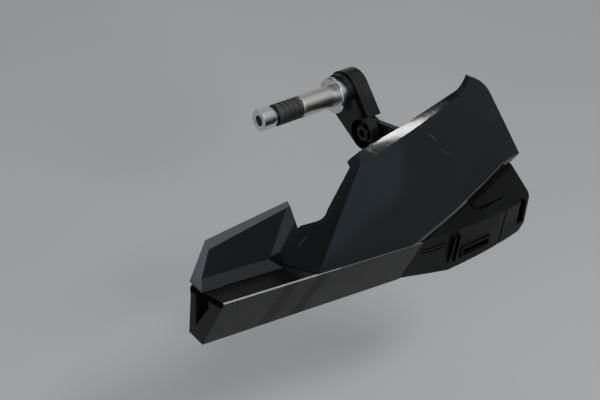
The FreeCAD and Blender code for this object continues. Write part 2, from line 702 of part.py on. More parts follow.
def guard_bracket():
    """Bracket with an eye on the arm and a flange on the carrier's pad"""
    x = boss_end()
    eye = bar(x, ARM_BOSS_Y, ARM_BOSS_Z, EYE_RADIUS, BRACKET)
    corners = [V(x, y, z) for y, z in BRACKET_TOP]
    far = BRACKET_TOP[-1][0]
    corners += [V(x, far, BRACKET_LOW_Z - 2), V(x, ARM_BOSS_Y - 20, BRACKET_LOW_Z + 3),
                V(x, ARM_BOSS_Y - 2, ARM_BOSS_Z - EYE_RADIUS + 0.3)]
    plate = Part.Face(Part.makePolygon(corners + corners[:1])).extrude(V(BRACKET, 0, 0))
    front = BACK_F - PAD_DEPTH
    keep = to_row(slab(-REACH / 2, front))
    flange = to_row(rounded((PAD_S[0] + 1, PAD_S[1] - 1), (PAD_Z[0] + 1, PAD_Z[1] - 1), PAD_CORNER,
                            flange_back(), front))
    body = eye.fuse(plate.common(keep)).fuse(flange)
    body = body.cut(bar(x - 1, ARM_BOSS_Y, ARM_BOSS_Z, BOLT_RADIUS + BOLT_FIT, BRACKET + 2))
    for s, z in BRACKET_BOLTS:
        body = body.cut(to_row(rod(s, z, BRACKET_BOLT_RADIUS + BOLT_FIT, flange_back() - 1, front + 1)))
    return body.removeSplitter()


def arm_layer(x, length, radius, step):
    """Knuckle and web of the arm between two planes, with the web's front set in by a step"""
    run = V(0, ARM_BOSS_Y, ARM_BOSS_Z)
    along_run = V(run).normalize()
    across = V(0, -ARM_BOSS_Z, ARM_BOSS_Y).normalize()
    starts = []
    for side, half in ((1, ARM_REAR), (-1, ARM_FRONT)):
        taper = (KNUCKLE_RADIUS - half) / run.Length
        starts.append((across * (side * math.sqrt(1 - taper * taper)) + along_run * taper) * KNUCKLE_RADIUS)
    corners = [starts[0], run + across * ARM_REAR, run - across * (ARM_FRONT - step), starts[1] + across * step]
    corners = [V(x, 0, 0) + corner for corner in corners]
    web = Part.Face(Part.makePolygon(corners + corners[:1])).extrude(V(length, 0, 0))
    return web.fuse(bar(x, 0, 0, radius, length))


def bar_end_arm():
    """Cast arm from the bar end down to the bracket"""
    boss_disc = bar(arm_start(), ARM_BOSS_Y, ARM_BOSS_Z, ARM_BOSS_RADIUS, ARM_BOSS_WIDTH)
    circles = [edge for edge in boss_disc.Edges if edge.Curve.TypeId == "Part::GeomCircle"]
    body = arm_layer(arm_start() + ARM_STEP, KNUCKLE_WIDTH - ARM_STEP, KNUCKLE_RADIUS, 0.0)
    body = body.fuse(arm_layer(arm_start(), ARM_STEP, KNUCKLE_HUB_RADIUS, ARM_STEP_INSET))
    body = body.cut(bar(boss_end(), ARM_BOSS_Y, ARM_BOSS_Z, EYE_RADIUS + EYE_GAP, KNUCKLE_WIDTH))
    body = body.fuse(boss_disc.makeChamfer(ARM_CHAMFER / 2, circles))
    body = body.cut(bar(arm_start() - 1, 0, 0, BOLT_RADIUS + BOLT_FIT, KNUCKLE_WIDTH + 2))
    body = body.cut(bar(knuckle_end() - RECESS_DEPTH, 0, 0, RECESS_RADIUS, RECESS_DEPTH + 1))
    body = body.cut(bar(arm_start() - 1, ARM_BOSS_Y, ARM_BOSS_Z, BOLT_RADIUS + BOLT_FIT, KNUCKLE_WIDTH + 2))
    body = body.cut(bar(arm_start() - 1, ARM_BOSS_Y, ARM_BOSS_Z, POCKET_RADIUS, POCKET_DEPTH + 1))
    return body.removeSplitter()


def turned(profile):
    """A turned part from (x, radius) points, about the handlebar's axis"""
    corners = [V(x, 0, radius) for x, radius in profile]
    face = Part.Face(Part.makePolygon(corners + corners[:1]))
    return face.revolve(V(0, 0, 0), V(1, 0, 0), 360)


def bar_end_spacer():
    """Bright turned spacer between the bar end and the arm"""
    bore = BOLT_RADIUS + BOLT_FIT
    length = SPACER_LENGTH
    return turned([(0, bore), (0, SPACER_RADIUS - 1.2), (1.2, SPACER_RADIUS), (length - 4, SPACER_RADIUS),
                   (length - 3.2, SPACER_RADIUS - 1.6), (length, SPACER_RADIUS - 1.6), (length, bore)])


def bar_plug():
    """Steel plug that centres in the handlebar's bore"""
    bore = BOLT_RADIUS + BOLT_FIT
    return turned([(0, bore), (0, PLUG_RADIUS), (-PLUG_LENGTH + 1, PLUG_RADIUS),
                   (-PLUG_LENGTH, PLUG_RADIUS - 1), (-PLUG_LENGTH, bore)])


def expander_sleeve():
    """Rubber sleeve with grip grooves, which the cone spreads in the bore"""
    start = -PLUG_LENGTH
    end = start - SLEEVE_LENGTH
    bore = BOLT_RADIUS + BOLT_FIT
    crest = PLUG_RADIUS - SLEEVE_FIT
    root = crest - SLEEVE_GROOVE_DEPTH
    profile = [(start, bore), (start, crest)]
    for index in range(SLEEVE_GROOVES):
        middle = start - SLEEVE_LENGTH * (index + 1) / (SLEEVE_GROOVES + 1)
        near = middle + SLEEVE_GROOVE_WIDTH / 2
        far = middle - SLEEVE_GROOVE_WIDTH / 2
        profile += [(near, crest), (near, root), (far, root), (far, crest)]
    return turned(profile + [(end, crest), (end, CONE_SMALL_RADIUS + SLEEVE_FIT), (end + 6, bore)])


def expander_cone():
    """Threaded cone drawn into the sleeve by the bar-end bolt"""
    start = -PLUG_LENGTH - SLEEVE_LENGTH
    bore = BOLT_RADIUS + HOLE_FIT / 2
    return turned([(start, bore), (start, CONE_SMALL_RADIUS), (start - 5, PLUG_RADIUS - 0.5),
                   (start - CONE_LENGTH, PLUG_RADIUS - 0.5), (start - CONE_LENGTH, bore)])


def socket_bolt(head_x, y, z, shank_to, direction, height=BOLT_HEAD):
    """Socket-head bolt whose head sits at head_x and whose shank runs along X to shank_to"""
    step = V(direction, 0, 0)
    head = Part.makeCylinder(BOLT_HEAD_RADIUS, height, V(head_x, y, z), step * -1)
    top = [edge for edge in head.Edges if abs(edge.CenterOfMass.x - (head_x - direction * height)) < 0.01]
    head = head.makeChamfer(0.6, top)
    shank = Part.makeCylinder(BOLT_RADIUS, abs(shank_to - head_x), V(head_x, y, z), step)
    key_depth = SOCKET_SHARE * height
    key = along(hexagon(3.0, key_depth + 1), V(head_x - direction * (height - key_depth), y, z), step * -1)
    return head.fuse(shank).cut(key)


def ring(x, y, z, radius, thickness):
    """Flat washer along X"""
    disc = bar(x, y, z, radius, thickness)
    return disc.cut(bar(x - 1, y, z, BOLT_RADIUS + BOLT_FIT, thickness + 2))


def bar_end_washer():
    """Washer under the bar-end bolt's head"""
    return ring(knuckle_end() - RECESS_DEPTH, 0, 0, WASHER_RADIUS, WASHER)


def bar_end_bolt():
    """Long bolt through the arm, spacer, plug and sleeve into the cone"""
    head_x = knuckle_end() - RECESS_DEPTH + WASHER
    return socket_bolt(head_x, 0, 0, -PLUG_LENGTH - SLEEVE_LENGTH - CONE_LENGTH + 1, -1)


def arm_washer():
    """Washer in the boss's pocket"""
    return ring(arm_start() + POCKET_DEPTH - WASHER, ARM_BOSS_Y, ARM_BOSS_Z, WASHER_RADIUS, WASHER)


def arm_bolt():
    """Bolt that clamps the bracket's eye to the arm"""
    head_x = arm_start() + POCKET_DEPTH - WASHER
    return socket_bolt(head_x, ARM_BOSS_Y, ARM_BOSS_Z, nut_seat() + NUT_HEIGHT + 1.5, 1,
                       LOW_HEAD)


def nut_seat():
    """Inboard face of the arm bolt's nut"""
    return boss_end() + BRACKET + WASHER


def arm_nut_washer():
    """Washer under the arm bolt's nut"""
    return ring(boss_end() + BRACKET, ARM_BOSS_Y, ARM_BOSS_Z, WASHER_RADIUS, WASHER)


def arm_nut():
    """Nut on the outboard side of the bracket's eye"""
    base = V(nut_seat(), ARM_BOSS_Y, ARM_BOSS_Z)
    body = along(hexagon(NUT_WIDTH / 2, NUT_HEIGHT), base, V(1, 0, 0))
    return body.cut(bar(base.x - 1, base.y, base.z, BOLT_RADIUS + HOLE_FIT / 2, NUT_HEIGHT + 2))


def save(name, shape):
    """Write one sub-part"""
    solids = shape.Solids
    body = solids[0] if len(solids) == 1 else Part.makeCompound(solids)
    body.exportStep("parts/" + name + ".step")
    print(name, len(solids), "solid(s)", round(sum(one.Volume for one in solids) / 1000, 2), "cm3",
          "valid" if all(one.isValid() for one in solids) else "NOT VALID")


os.makedirs("parts", exist_ok=True)
save("upper_shell", to_row(upper_shell()))
save("lower_panel", to_row(lower_panel()))
save("vent_housing", to_row(vent_housing()))
save("rear_carrier", to_row(rear_carrier()))
save("guard_bracket", guard_bracket())
save("bar_end_arm", bar_end_arm())
save("bar_end_spacer", bar_end_spacer())
save("bar_plug", bar_plug())
save("expander_sleeve", expander_sleeve())
save("expander_cone", expander_cone())
save("bar_end_bolt", bar_end_bolt())
save("bar_end_washer", bar_end_washer())
save("arm_bolt", arm_bolt())
save("arm_washer", arm_washer())
save("arm_nut_washer", arm_nut_washer())
save("arm_nut", arm_nut())
save("threaded_inserts", threaded_inserts())
save("bracket_bolts", bracket_bolts())
save("bracket_washers", bracket_washers())
save("shell_screws", screws(SHELL_SCREWS))
save("wing_screws", screws(WING_SCREWS, SHORT_SCREW_LENGTH))
save("panel_screws", screws(PANEL_SCREWS))
save("housing_screws", screws(HOUSING_SCREWS))
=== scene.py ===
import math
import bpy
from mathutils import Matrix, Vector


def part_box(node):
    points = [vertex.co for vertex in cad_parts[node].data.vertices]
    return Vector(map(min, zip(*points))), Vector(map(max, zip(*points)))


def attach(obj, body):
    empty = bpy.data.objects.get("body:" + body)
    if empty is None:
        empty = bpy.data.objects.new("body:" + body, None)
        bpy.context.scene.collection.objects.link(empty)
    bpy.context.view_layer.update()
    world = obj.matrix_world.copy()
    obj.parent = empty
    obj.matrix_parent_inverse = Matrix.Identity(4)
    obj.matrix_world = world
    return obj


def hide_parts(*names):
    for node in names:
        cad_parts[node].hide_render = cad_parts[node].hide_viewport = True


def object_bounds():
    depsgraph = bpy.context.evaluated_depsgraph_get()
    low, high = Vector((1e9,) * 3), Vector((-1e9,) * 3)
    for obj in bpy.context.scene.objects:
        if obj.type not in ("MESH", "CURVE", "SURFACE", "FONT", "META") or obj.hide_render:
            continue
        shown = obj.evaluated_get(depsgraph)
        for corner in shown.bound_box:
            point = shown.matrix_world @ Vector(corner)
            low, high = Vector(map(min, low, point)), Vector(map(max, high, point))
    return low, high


bl_info = {
    "name": "Hand guard",
    "version": (1, 0, 0),
    "blender": (4, 5, 0),
    "location": "3D View > Sidebar > Hand Guard",
    "description": "Dresses the hand guard's mouldings, castings and fasteners and sets its studio",
    "category": "Object",
}

import bmesh
import bpy
from mathutils import Matrix, Vector

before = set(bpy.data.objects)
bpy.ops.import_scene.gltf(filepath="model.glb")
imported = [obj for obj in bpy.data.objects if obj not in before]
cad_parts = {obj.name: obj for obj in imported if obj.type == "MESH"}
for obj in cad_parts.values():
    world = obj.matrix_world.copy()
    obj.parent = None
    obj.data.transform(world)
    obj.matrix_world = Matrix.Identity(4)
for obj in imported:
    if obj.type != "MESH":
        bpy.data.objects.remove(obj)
CAD_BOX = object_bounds()
MM = 0.001


# Sizes and colours a user would change

class FinishSettings(bpy.types.PropertyGroup):
    """Colours and surface values of the guard's finishes"""
    shell_colour: bpy.props.FloatVectorProperty(
        name="Gloss shell", description="Moulded colour of the gloss shell", subtype="COLOR",
        size=4, min=0.0, max=1.0, default=(0.0062, 0.0066, 0.0072, 1.0))
    panel_colour: bpy.props.FloatVectorProperty(
        name="Satin panel", description="Moulded colour of the satin lower panel", subtype="COLOR",
        size=4, min=0.0, max=1.0, default=(0.0075, 0.0075, 0.0078, 1.0))
    housing_colour: bpy.props.FloatVectorProperty(
        name="Vent housing", description="Moulded colour of the matte vent housing", subtype="COLOR",
        size=4, min=0.0, max=1.0, default=(0.005, 0.005, 0.0052, 1.0))
    carrier_colour: bpy.props.FloatVectorProperty(
        name="Rear carrier", description="Colour of the glass-filled nylon carrier", subtype="COLOR",
        size=4, min=0.0, max=1.0, default=(0.0135, 0.0135, 0.0135, 1.0))
    coat_colour: bpy.props.FloatVectorProperty(
        name="Powder coat", description="Colour of the coating on arm and bracket", subtype="COLOR",
        size=4, min=0.0, max=1.0, default=(0.0065, 0.0065, 0.0068, 1.0))
    dust: bpy.props.FloatProperty(
        name="Dust", description="How much fine dust lies on faces that look up",
        subtype="FACTOR", min=0.0, max=1.0, default=0.08)


class DetailSettings(bpy.types.PropertyGroup):
    """Small sizes that the mouldings and fasteners get here"""
    shell_edge: bpy.props.FloatProperty(
        name="Shell edge radius", description="Edge radius of the gloss shell", unit="LENGTH",
        min=0.0001, max=0.002, default=0.0007, precision=5)
    moulding_edge: bpy.props.FloatProperty(
        name="Moulding edge radius", description="Edge radius of panel, housing and carrier",
        unit="LENGTH", min=0.0001, max=0.002, default=0.00045, precision=5)
    casting_edge: bpy.props.FloatProperty(
        name="Casting edge radius", description="Edge radius of the arm and the bracket",
        unit="LENGTH", min=0.0001, max=0.002, default=0.0009, precision=5)
    metal_edge: bpy.props.FloatProperty(
        name="Metal edge break", description="Broken edge of washers, nuts, bolts and screws",
        unit="LENGTH", min=0.00005, max=0.001, default=0.00018, precision=5)
    crease_line: bpy.props.FloatProperty(
        name="Crease line radius", description="Radius of the raised line along the shell's crease",
        unit="LENGTH", min=0.0001, max=0.001, default=0.00034, precision=5)
    thread_pitch: bpy.props.FloatProperty(
        name="Thread pitch", description="Pitch of the arm bolt's thread", unit="LENGTH",
        min=0.0005, max=0.003, default=0.00125, precision=5)


class StageSettings(bpy.types.PropertyGroup):
    """Camera, floor and lights"""
    azimuth: bpy.props.FloatProperty(
        name="Camera azimuth", description="Turn of the camera round the guard", subtype="ANGLE",
        default=math.radians(-38.0))
    elevation: bpy.props.FloatProperty(
        name="Camera elevation", description="Height of the camera above the horizon",
        subtype="ANGLE", default=math.radians(31.0))
    distance: bpy.props.FloatProperty(
        name="Camera distance", description="From the camera to the zero of the guard's axes",
        unit="LENGTH", default=0.8)
    lens: bpy.props.FloatProperty(
        name="Lens", description="Focal length on a 36 mm sensor, in millimetres",
        min=20.0, max=200.0, default=62.4)
    floor_colour: bpy.props.FloatVectorProperty(
        name="Floor", description="Colour of the pale studio floor", subtype="COLOR",
        size=4, min=0.0, max=1.0, default=(0.4, 0.4, 0.405, 1.0))
    floor_drop: bpy.props.FloatProperty(
        name="Floor drop", description="Gap from the guard's lowest point to the floor",
        unit="LENGTH", min=0.0, max=2.0, default=0.16)
    key_power: bpy.props.FloatProperty(
        name="Key light", description="Power of the narrow light behind and above, in watts",
        min=0.0, max=500.0, default=4.2)
    fill_power: bpy.props.FloatProperty(
        name="Fill light", description="Power of the soft light from the front, in watts",
        min=0.0, max=500.0, default=6.0)
    edge_power: bpy.props.FloatProperty(
        name="Edge light", description="Power of the light that draws the front edges, in watts",
        min=0.0, max=500.0, default=10.0)
    side_power: bpy.props.FloatProperty(
        name="Side light", description="Power of the low bluish light behind on the left, in watts",
        min=0.0, max=500.0, default=1.2)


# Node materials

def start_material(name):
    """A node material and its shader, with the object's own coordinates"""
    material = bpy.data.materials.new(name)
    material.use_nodes = True
    tree = material.node_tree
    shader = tree.nodes["Principled BSDF"]
    place = tree.nodes.new("ShaderNodeTexCoord").outputs["Object"]
    return material, tree, shader, place


def stretched(tree, place, scale, turn=(0.0, 0.0, 0.0)):
    """Coordinates scaled, and turned, for a directional texture"""
    mapping = tree.nodes.new("ShaderNodeMapping")
    mapping.inputs["Scale"].default_value = scale
    mapping.inputs["Rotation"].default_value = turn
    tree.links.new(place, mapping.inputs["Vector"])
    return mapping.outputs["Vector"]


def noise(tree, place, scale, detail=3.0, roughness=0.5):
    """Noise at a scale per metre"""
    node = tree.nodes.new("ShaderNodeTexNoise")
    node.inputs["Scale"].default_value = scale
    node.inputs["Detail"].default_value = detail
    node.inputs["Roughness"].default_value = roughness
    tree.links.new(place, node.inputs["Vector"])
    return node.outputs["Fac"]


def ramp(tree, value, low, high, out_low=0.0, out_high=1.0):
    """A value mapped from one range to another, smooth and clamped"""
    node = tree.nodes.new("ShaderNodeMapRange")
    node.interpolation_type = "SMOOTHSTEP"
    limits = {"From Min": low, "From Max": high, "To Min": out_low, "To Max": out_high}
    for key, number in limits.items():
        node.inputs[key].default_value = number
    tree.links.new(value, node.inputs["Value"])
    return node.outputs["Result"]


def combine(tree, operation, first, second):
    """Two values, or a value and a number, joined by arithmetic"""
    node = tree.nodes.new("ShaderNodeMath")
    node.operation = operation
    for socket, value in zip(node.inputs, (first, second)):
        if isinstance(value, (int, float)):
            socket.default_value = value
        else:
            tree.links.new(value, socket)
    return node.outputs[0]


def dot_with(tree, vector, direction):
    """How far a vector runs along a fixed direction"""
    node = tree.nodes.new("ShaderNodeVectorMath")
    node.operation = "DOT_PRODUCT"
    tree.links.new(vector, node.inputs[0])
    node.inputs[1].default_value = direction
    return node.outputs["Value"]


def blend_colour(tree, factor, first, second):
    """A colour between two colours"""
    node = tree.nodes.new("ShaderNodeMix")
    node.data_type = "RGBA"
    tree.links.new(factor, node.inputs["Factor"])
    for socket, value in ((node.inputs[6], first), (node.inputs[7], second)):
        if isinstance(value, bpy.types.NodeSocket):
            tree.links.new(value, socket)
        else:
            socket.default_value = value
    return node.outputs[2]


def shade(colour, factor):
    """A colour made lighter or darker"""
    return tuple(min(channel * factor, 1.0) for channel in colour[:3]) + (1.0,)


def bump(tree, shader, height, strength, distance, coat=False):
    """Surface relief from a height"""
    node = tree.nodes.new("ShaderNodeBump")
    node.inputs["Strength"].default_value = strength
    node.inputs["Distance"].default_value = distance
    tree.links.new(height, node.inputs["Height"])
    tree.links.new(node.outputs["Normal"], shader.inputs["Normal"])
    if coat:
        tree.links.new(node.outputs["Normal"], shader.inputs["Coat Normal"])


def facing(tree, direction, wide, narrow, out_low=0.0, out_high=1.0):
    """How far a face looks in a direction, between two cosines"""
    normal = tree.nodes.new("ShaderNodeNewGeometry").outputs["Normal"]
    turned = dot_with(tree, normal, Vector(direction).normalized())
    return ramp(tree, turned, wide, narrow, out_low, out_high)


# Tones of the fine dust, on the gloss shell and elsewhere
SHELL_DUST = (0.16, 0.155, 0.145, 1.0)
DUST = (0.17, 0.165, 0.155, 1.0)


def dusted(tree, place, colour, dust, amount):
    """A colour with fine dust, a film and specks, that gathers on faces that look up"""
    specks = ramp(tree, noise(tree, place, 2600.0, 2.0), 0.62, 0.74)
    film = ramp(tree, noise(tree, place, 38.0, 5.0, 0.6), 0.38, 0.75)
    lying = combine(tree, "ADD", combine(tree, "MULTIPLY", film, 0.35),
                    combine(tree, "MULTIPLY", specks, 0.65))
    lying = combine(tree, "MULTIPLY", lying, facing(tree, (0.0, 0.0, 1.0), 0.15, 0.95))
    return blend_colour(tree, combine(tree, "MULTIPLY", lying, amount), colour, dust)


# Scratches in the gloss: their tone, and the start, end and half width of each in millimetres, with
# its strength
SCRATCH_TONE = (0.11, 0.112, 0.118, 1.0)
SHELL_SCRATCHES = (((10.8, -95.5, 3.0), (16.0, -98.1, -2.4), 0.5, 0.35),
                   ((18.2, -100.9, -9.2), (24.8, -103.6, -15.0), 0.4, 0.25),
                   ((-93.4, -79.1, -57.5), (-87.2, -81.2, -51.0), 0.35, 0.4))


def scratch(tree, place, start, end, half, strength):
    """How much of a fine scratch between two points lies here"""
    start, end = Vector(start) * MM, Vector(end) * MM
    run = end - start
    offset = tree.nodes.new("ShaderNodeVectorMath")
    offset.operation = "SUBTRACT"
    tree.links.new(place, offset.inputs[0])
    offset.inputs[1].default_value = start
    share = ramp(tree, dot_with(tree, offset.outputs["Vector"], run / run.length_squared), 0.0, 1.0)
    share.node.interpolation_type = "LINEAR"
    nearest = tree.nodes.new("ShaderNodeVectorMath")
    nearest.operation = "SCALE"
    nearest.inputs[0].default_value = run
    tree.links.new(share, nearest.inputs["Scale"])
    gap = tree.nodes.new("ShaderNodeVectorMath")
    gap.operation = "DISTANCE"
    tree.links.new(offset.outputs["Vector"], gap.inputs[0])
    tree.links.new(nearest.outputs["Vector"], gap.inputs[1])
    return ramp(tree, gap.outputs["Value"], 0.25 * half * MM, half * MM, strength, 0.0)


def gloss_shell_finish(finish):
    """High gloss black: slight orange peel, hand smudges, hairlines and dust"""
    material, tree, shader, place = start_material("gloss_black_shell")
    cloud = noise(tree, place, 14.0, 3.0)
    colour = blend_colour(tree, ramp(tree, cloud, 0.35, 0.65), shade(finish.shell_colour, 0.85),
                          shade(finish.shell_colour, 1.2))
    colour = dusted(tree, place, colour, SHELL_DUST, finish.dust)
    for mark in SHELL_SCRATCHES:
        colour = blend_colour(tree, scratch(tree, place, *mark), colour, SCRATCH_TONE)
    tree.links.new(colour, shader.inputs["Base Color"])
    wiped = stretched(tree, place, (1.0, 1.0, 2.4), (0.2, 0.0, 0.5))
    smudge = ramp(tree, noise(tree, wiped, 32.0, 5.0, 0.62), 0.46, 0.72, 0.07, 0.13)
    drawn = stretched(tree, place, (1.0, 1.0, 34.0), (0.0, 0.7, 0.0))
    hairline = ramp(tree, noise(tree, drawn, 70.0, 1.0), 0.66, 0.72, 0.0, 0.06)
    tree.links.new(combine(tree, "ADD", smudge, hairline), shader.inputs["Roughness"])
    shader.inputs["Coat Weight"].default_value = 0.35
    shader.inputs["Coat Roughness"].default_value = 0.06
    bump(tree, shader, noise(tree, place, 620.0, 2.0), 0.03, 0.0003, coat=True)
    return material


def crease_highlight_finish():
    """Light grey on the raised crease line, duller than the gloss, a painted highlight along the crease"""
    material, tree, shader, place = start_material("rubbed_gloss_edge")
    rub = ramp(tree, noise(tree, place, 90.0, 3.0), 0.35, 0.7)
    tree.links.new(blend_colour(tree, rub, (0.035, 0.036, 0.038, 1.0), (0.06, 0.061, 0.064, 1.0)),
                   shader.inputs["Base Color"])
    tree.links.new(ramp(tree, rub, 0.0, 1.0, 0.45, 0.6), shader.inputs["Roughness"])
    return material


# Painted reflection bands across the panel's front, darker colour for dark things seen in the satin:
# middle and half width along X, how they slant, how far they waver and how soft their edges are
PANEL_REFLECTION_BANDS = ((-0.0885, 0.0032), (-0.064, 0.002))
REFLECTION_BAND_SLANT = 0.303
REFLECTION_BAND_WAVER = 0.004
REFLECTION_BAND_SOFTNESS = 0.0045

# Painted highlights on the panel's edges, a light tone on faces that look one way: where the nose edge
# and the inboard edge look, their tone, and the run along X where the nose edge's highlight grows faint
# and the share of it that stays
NOSE_LOOKS = (-0.12, -0.65, 0.75)
NOSE_FADE = (-0.078, -0.073)
NOSE_REST = 0.3
INBOARD_LOOKS = (-0.7, -0.1, 0.7)
EDGE_HIGHLIGHT_TONE = (0.16, 0.16, 0.162, 1.0)

# Painted shade for the gap at the top of the panel's inboard end: the heights where it starts and is full
GAP_SHADE_HEIGHTS = (-0.0756, -0.0748)
GAP_SHADE_TONE = (0.001, 0.001, 0.001, 1.0)

# The panel's specular level in a painted reflection band, beside one and as exported, and its share
# on the shelf
PANEL_LEVELS = (0.17, 0.26)
PANEL_LEVEL = 0.24
SHELF_SHARE = 0.12


def satin_panel_finish(finish):
    """Satin black with fine grain, and painted reflection bands, edge highlights and gap shade"""
    material, tree, shader, place = start_material("satin_black_panel")
    split = tree.nodes.new("ShaderNodeSeparateXYZ")
    tree.links.new(place, split.inputs[0])
    along, height = split.outputs["X"], split.outputs["Z"]
    slant = combine(tree, "ADD", along, combine(tree, "MULTIPLY", height, -REFLECTION_BAND_SLANT))
    waver = combine(tree, "MULTIPLY", noise(tree, place, 60.0, 3.0), REFLECTION_BAND_WAVER)
    slant = combine(tree, "ADD", slant, waver)
    # Painted reflection: clear falls to nought in each band, which darkens the colour and the specular
    # level there
    clear = 1.0
    for middle, half in PANEL_REFLECTION_BANDS:
        off = combine(tree, "ABSOLUTE", combine(tree, "SUBTRACT", slant, middle), 0.0)
        clear = combine(tree, "MULTIPLY", ramp(tree, off, half, half + REFLECTION_BAND_SOFTNESS), clear)
    colour = blend_colour(tree, clear, shade(finish.panel_colour, 0.6), shade(finish.panel_colour, 1.1))
    colour = dusted(tree, place, colour, DUST, finish.dust)
    # Painted highlight: the nose and inboard edges, picked out by the way they face, take a light tone
    nose = combine(tree, "MULTIPLY", facing(tree, NOSE_LOOKS, 0.9, 0.97),
                   ramp(tree, along, *NOSE_FADE, 1.0, NOSE_REST))
    rubbed = combine(tree, "MAXIMUM", nose, facing(tree, INBOARD_LOOKS, 0.88, 0.97, 0.0, 0.5))
    colour = blend_colour(tree, rubbed, colour, EDGE_HIGHLIGHT_TONE)
    # Painted shade: near black on the inboard end's top band, with its specular level cut, for the gap's
    # shade
    lip = combine(tree, "MULTIPLY", facing(tree, (-1.0, 0.0, 0.0), 0.8, 0.95),
                  ramp(tree, height, *GAP_SHADE_HEIGHTS))
    tree.links.new(blend_colour(tree, lip, colour, GAP_SHADE_TONE), shader.inputs["Base Color"])
    shelf = facing(tree, (0.0, 0.0, 1.0), 0.97, 0.995, 1.0, SHELF_SHARE)
    level = combine(tree, "MULTIPLY", ramp(tree, clear, 0.0, 1.0, *PANEL_LEVELS), shelf)
    level = combine(tree, "MULTIPLY", level, ramp(tree, lip, 0.0, 1.0, 1.0, 0.1))
    shader.inputs["Specular IOR Level"].default_value = PANEL_LEVEL
    tree.links.new(level, shader.inputs["Specular IOR Level"])
    rub = noise(tree, place, 34.0, 4.0, 0.6)
    tree.links.new(ramp(tree, rub, 0.4, 0.7, 0.27, 0.36), shader.inputs["Roughness"])
    bump(tree, shader, noise(tree, place, 2300.0, 3.0, 0.65), 0.08, 0.0001)
    return material


def matte_housing_finish(finish):
    """Fine matte black with a moulded grain and rubbed patches"""
    material, tree, shader, place = start_material("matte_black_housing")
    rub = ramp(tree, noise(tree, place, 46.0, 4.0), 0.42, 0.7)
    colour = blend_colour(tree, rub, shade(finish.housing_colour, 0.85),
                          shade(finish.housing_colour, 1.3))
    colour = dusted(tree, place, colour, DUST, finish.dust)
    tree.links.new(colour, shader.inputs["Base Color"])
    tree.links.new(ramp(tree, rub, 0.0, 1.0, 0.42, 0.54), shader.inputs["Roughness"])
    shader.inputs["Specular IOR Level"].default_value = 0.18
    bump(tree, shader, noise(tree, place, 1700.0, 4.0, 0.7), 0.3, 0.00014)
    return material


def nylon_carrier_finish(finish):
    """Dry glass-filled nylon: short pale fibres, flow marks and a coarse grain"""
    material, tree, shader, place = start_material("glass_filled_nylon")
    strands = stretched(tree, place, (1.0, 4.5, 6.0), (0.3, 0.4, 0.2))
    fibre = ramp(tree, noise(tree, strands, 1300.0, 2.0), 0.66, 0.78)
    flow = ramp(tree, noise(tree, stretched(tree, place, (1.0, 1.0, 3.0)), 24.0, 4.0), 0.4, 0.65)
    colour = blend_colour(tree, flow, shade(finish.carrier_colour, 0.8),
                          shade(finish.carrier_colour, 1.25))
    colour = blend_colour(tree, fibre, colour, shade(finish.carrier_colour, 4.0))
    tree.links.new(colour, shader.inputs["Base Color"])
    tree.links.new(ramp(tree, flow, 0.0, 1.0, 0.52, 0.66), shader.inputs["Roughness"])
    bump(tree, shader, noise(tree, place, 900.0, 5.0, 0.7), 0.35, 0.0002)
    return material


def powder_coat_finish(finish):
    """Satin powder coat over a casting, with rubbed patches"""
    material, tree, shader, place = start_material("powder_coated_casting")
    rub = ramp(tree, noise(tree, place, 60.0, 5.0, 0.6), 0.5, 0.8)
    colour = blend_colour(tree, rub, shade(finish.coat_colour, 0.9), shade(finish.coat_colour, 1.6))
    colour = dusted(tree, place, colour, DUST, finish.dust)
    tree.links.new(colour, shader.inputs["Base Color"])
    tree.links.new(ramp(tree, rub, 0.0, 1.0, 0.3, 0.42), shader.inputs["Roughness"])
    shader.inputs["Specular IOR Level"].default_value = 0.27
    bump(tree, shader, noise(tree, place, 480.0, 4.0, 0.6), 0.3, 0.0004)
    return material


# The phase of a wave texture at a scale of one, in radians per metre
WAVE_PHASE = 20.0


def turned_finish(name, colour, tint, roughness, spacing):
    """Bare turned metal with stains, and tool rings about X that lie a spacing apart"""
    material, tree, shader, place = start_material(name)
    shader.inputs["Metallic"].default_value = 1.0
    rings = tree.nodes.new("ShaderNodeTexWave")
    rings.bands_direction = "X"
    rings.inputs["Scale"].default_value = 2 * math.pi / (WAVE_PHASE * spacing)
    rings.inputs["Distortion"].default_value = 0.6
    rings.inputs["Detail"].default_value = 2.0
    rings.inputs["Detail Scale"].default_value = 3.0
    tree.links.new(place, rings.inputs["Vector"])
    stain = ramp(tree, noise(tree, place, 120.0, 4.0), 0.45, 0.75)
    tree.links.new(blend_colour(tree, stain, colour, tint), shader.inputs["Base Color"])
    tree.links.new(ramp(tree, stain, 0.0, 1.0, roughness, roughness + 0.14), shader.inputs["Roughness"])
    bump(tree, shader, rings.outputs["Fac"], 0.25, 0.00006)
    return material


def plated_finish(name, colour, tint, roughness):
    """Plated or oxidised steel with mottling and small scuffs"""
    material, tree, shader, place = start_material(name)
    shader.inputs["Metallic"].default_value = 1.0
    mottle = ramp(tree, noise(tree, place, 210.0, 5.0, 0.6), 0.4, 0.7)
    scuff = noise(tree, stretched(tree, place, (1.0, 5.0, 1.0)), 700.0, 2.0)
    scuff = ramp(tree, scuff, 0.62, 0.76, 0.0, 0.18)
    tree.links.new(blend_colour(tree, mottle, colour, tint), shader.inputs["Base Color"])
    rough = ramp(tree, mottle, 0.0, 1.0, roughness, roughness + 0.1)
    tree.links.new(combine(tree, "ADD", rough, scuff), shader.inputs["Roughness"])
    bump(tree, shader, noise(tree, place, 1500.0, 3.0), 0.15, 0.00005)
    return material


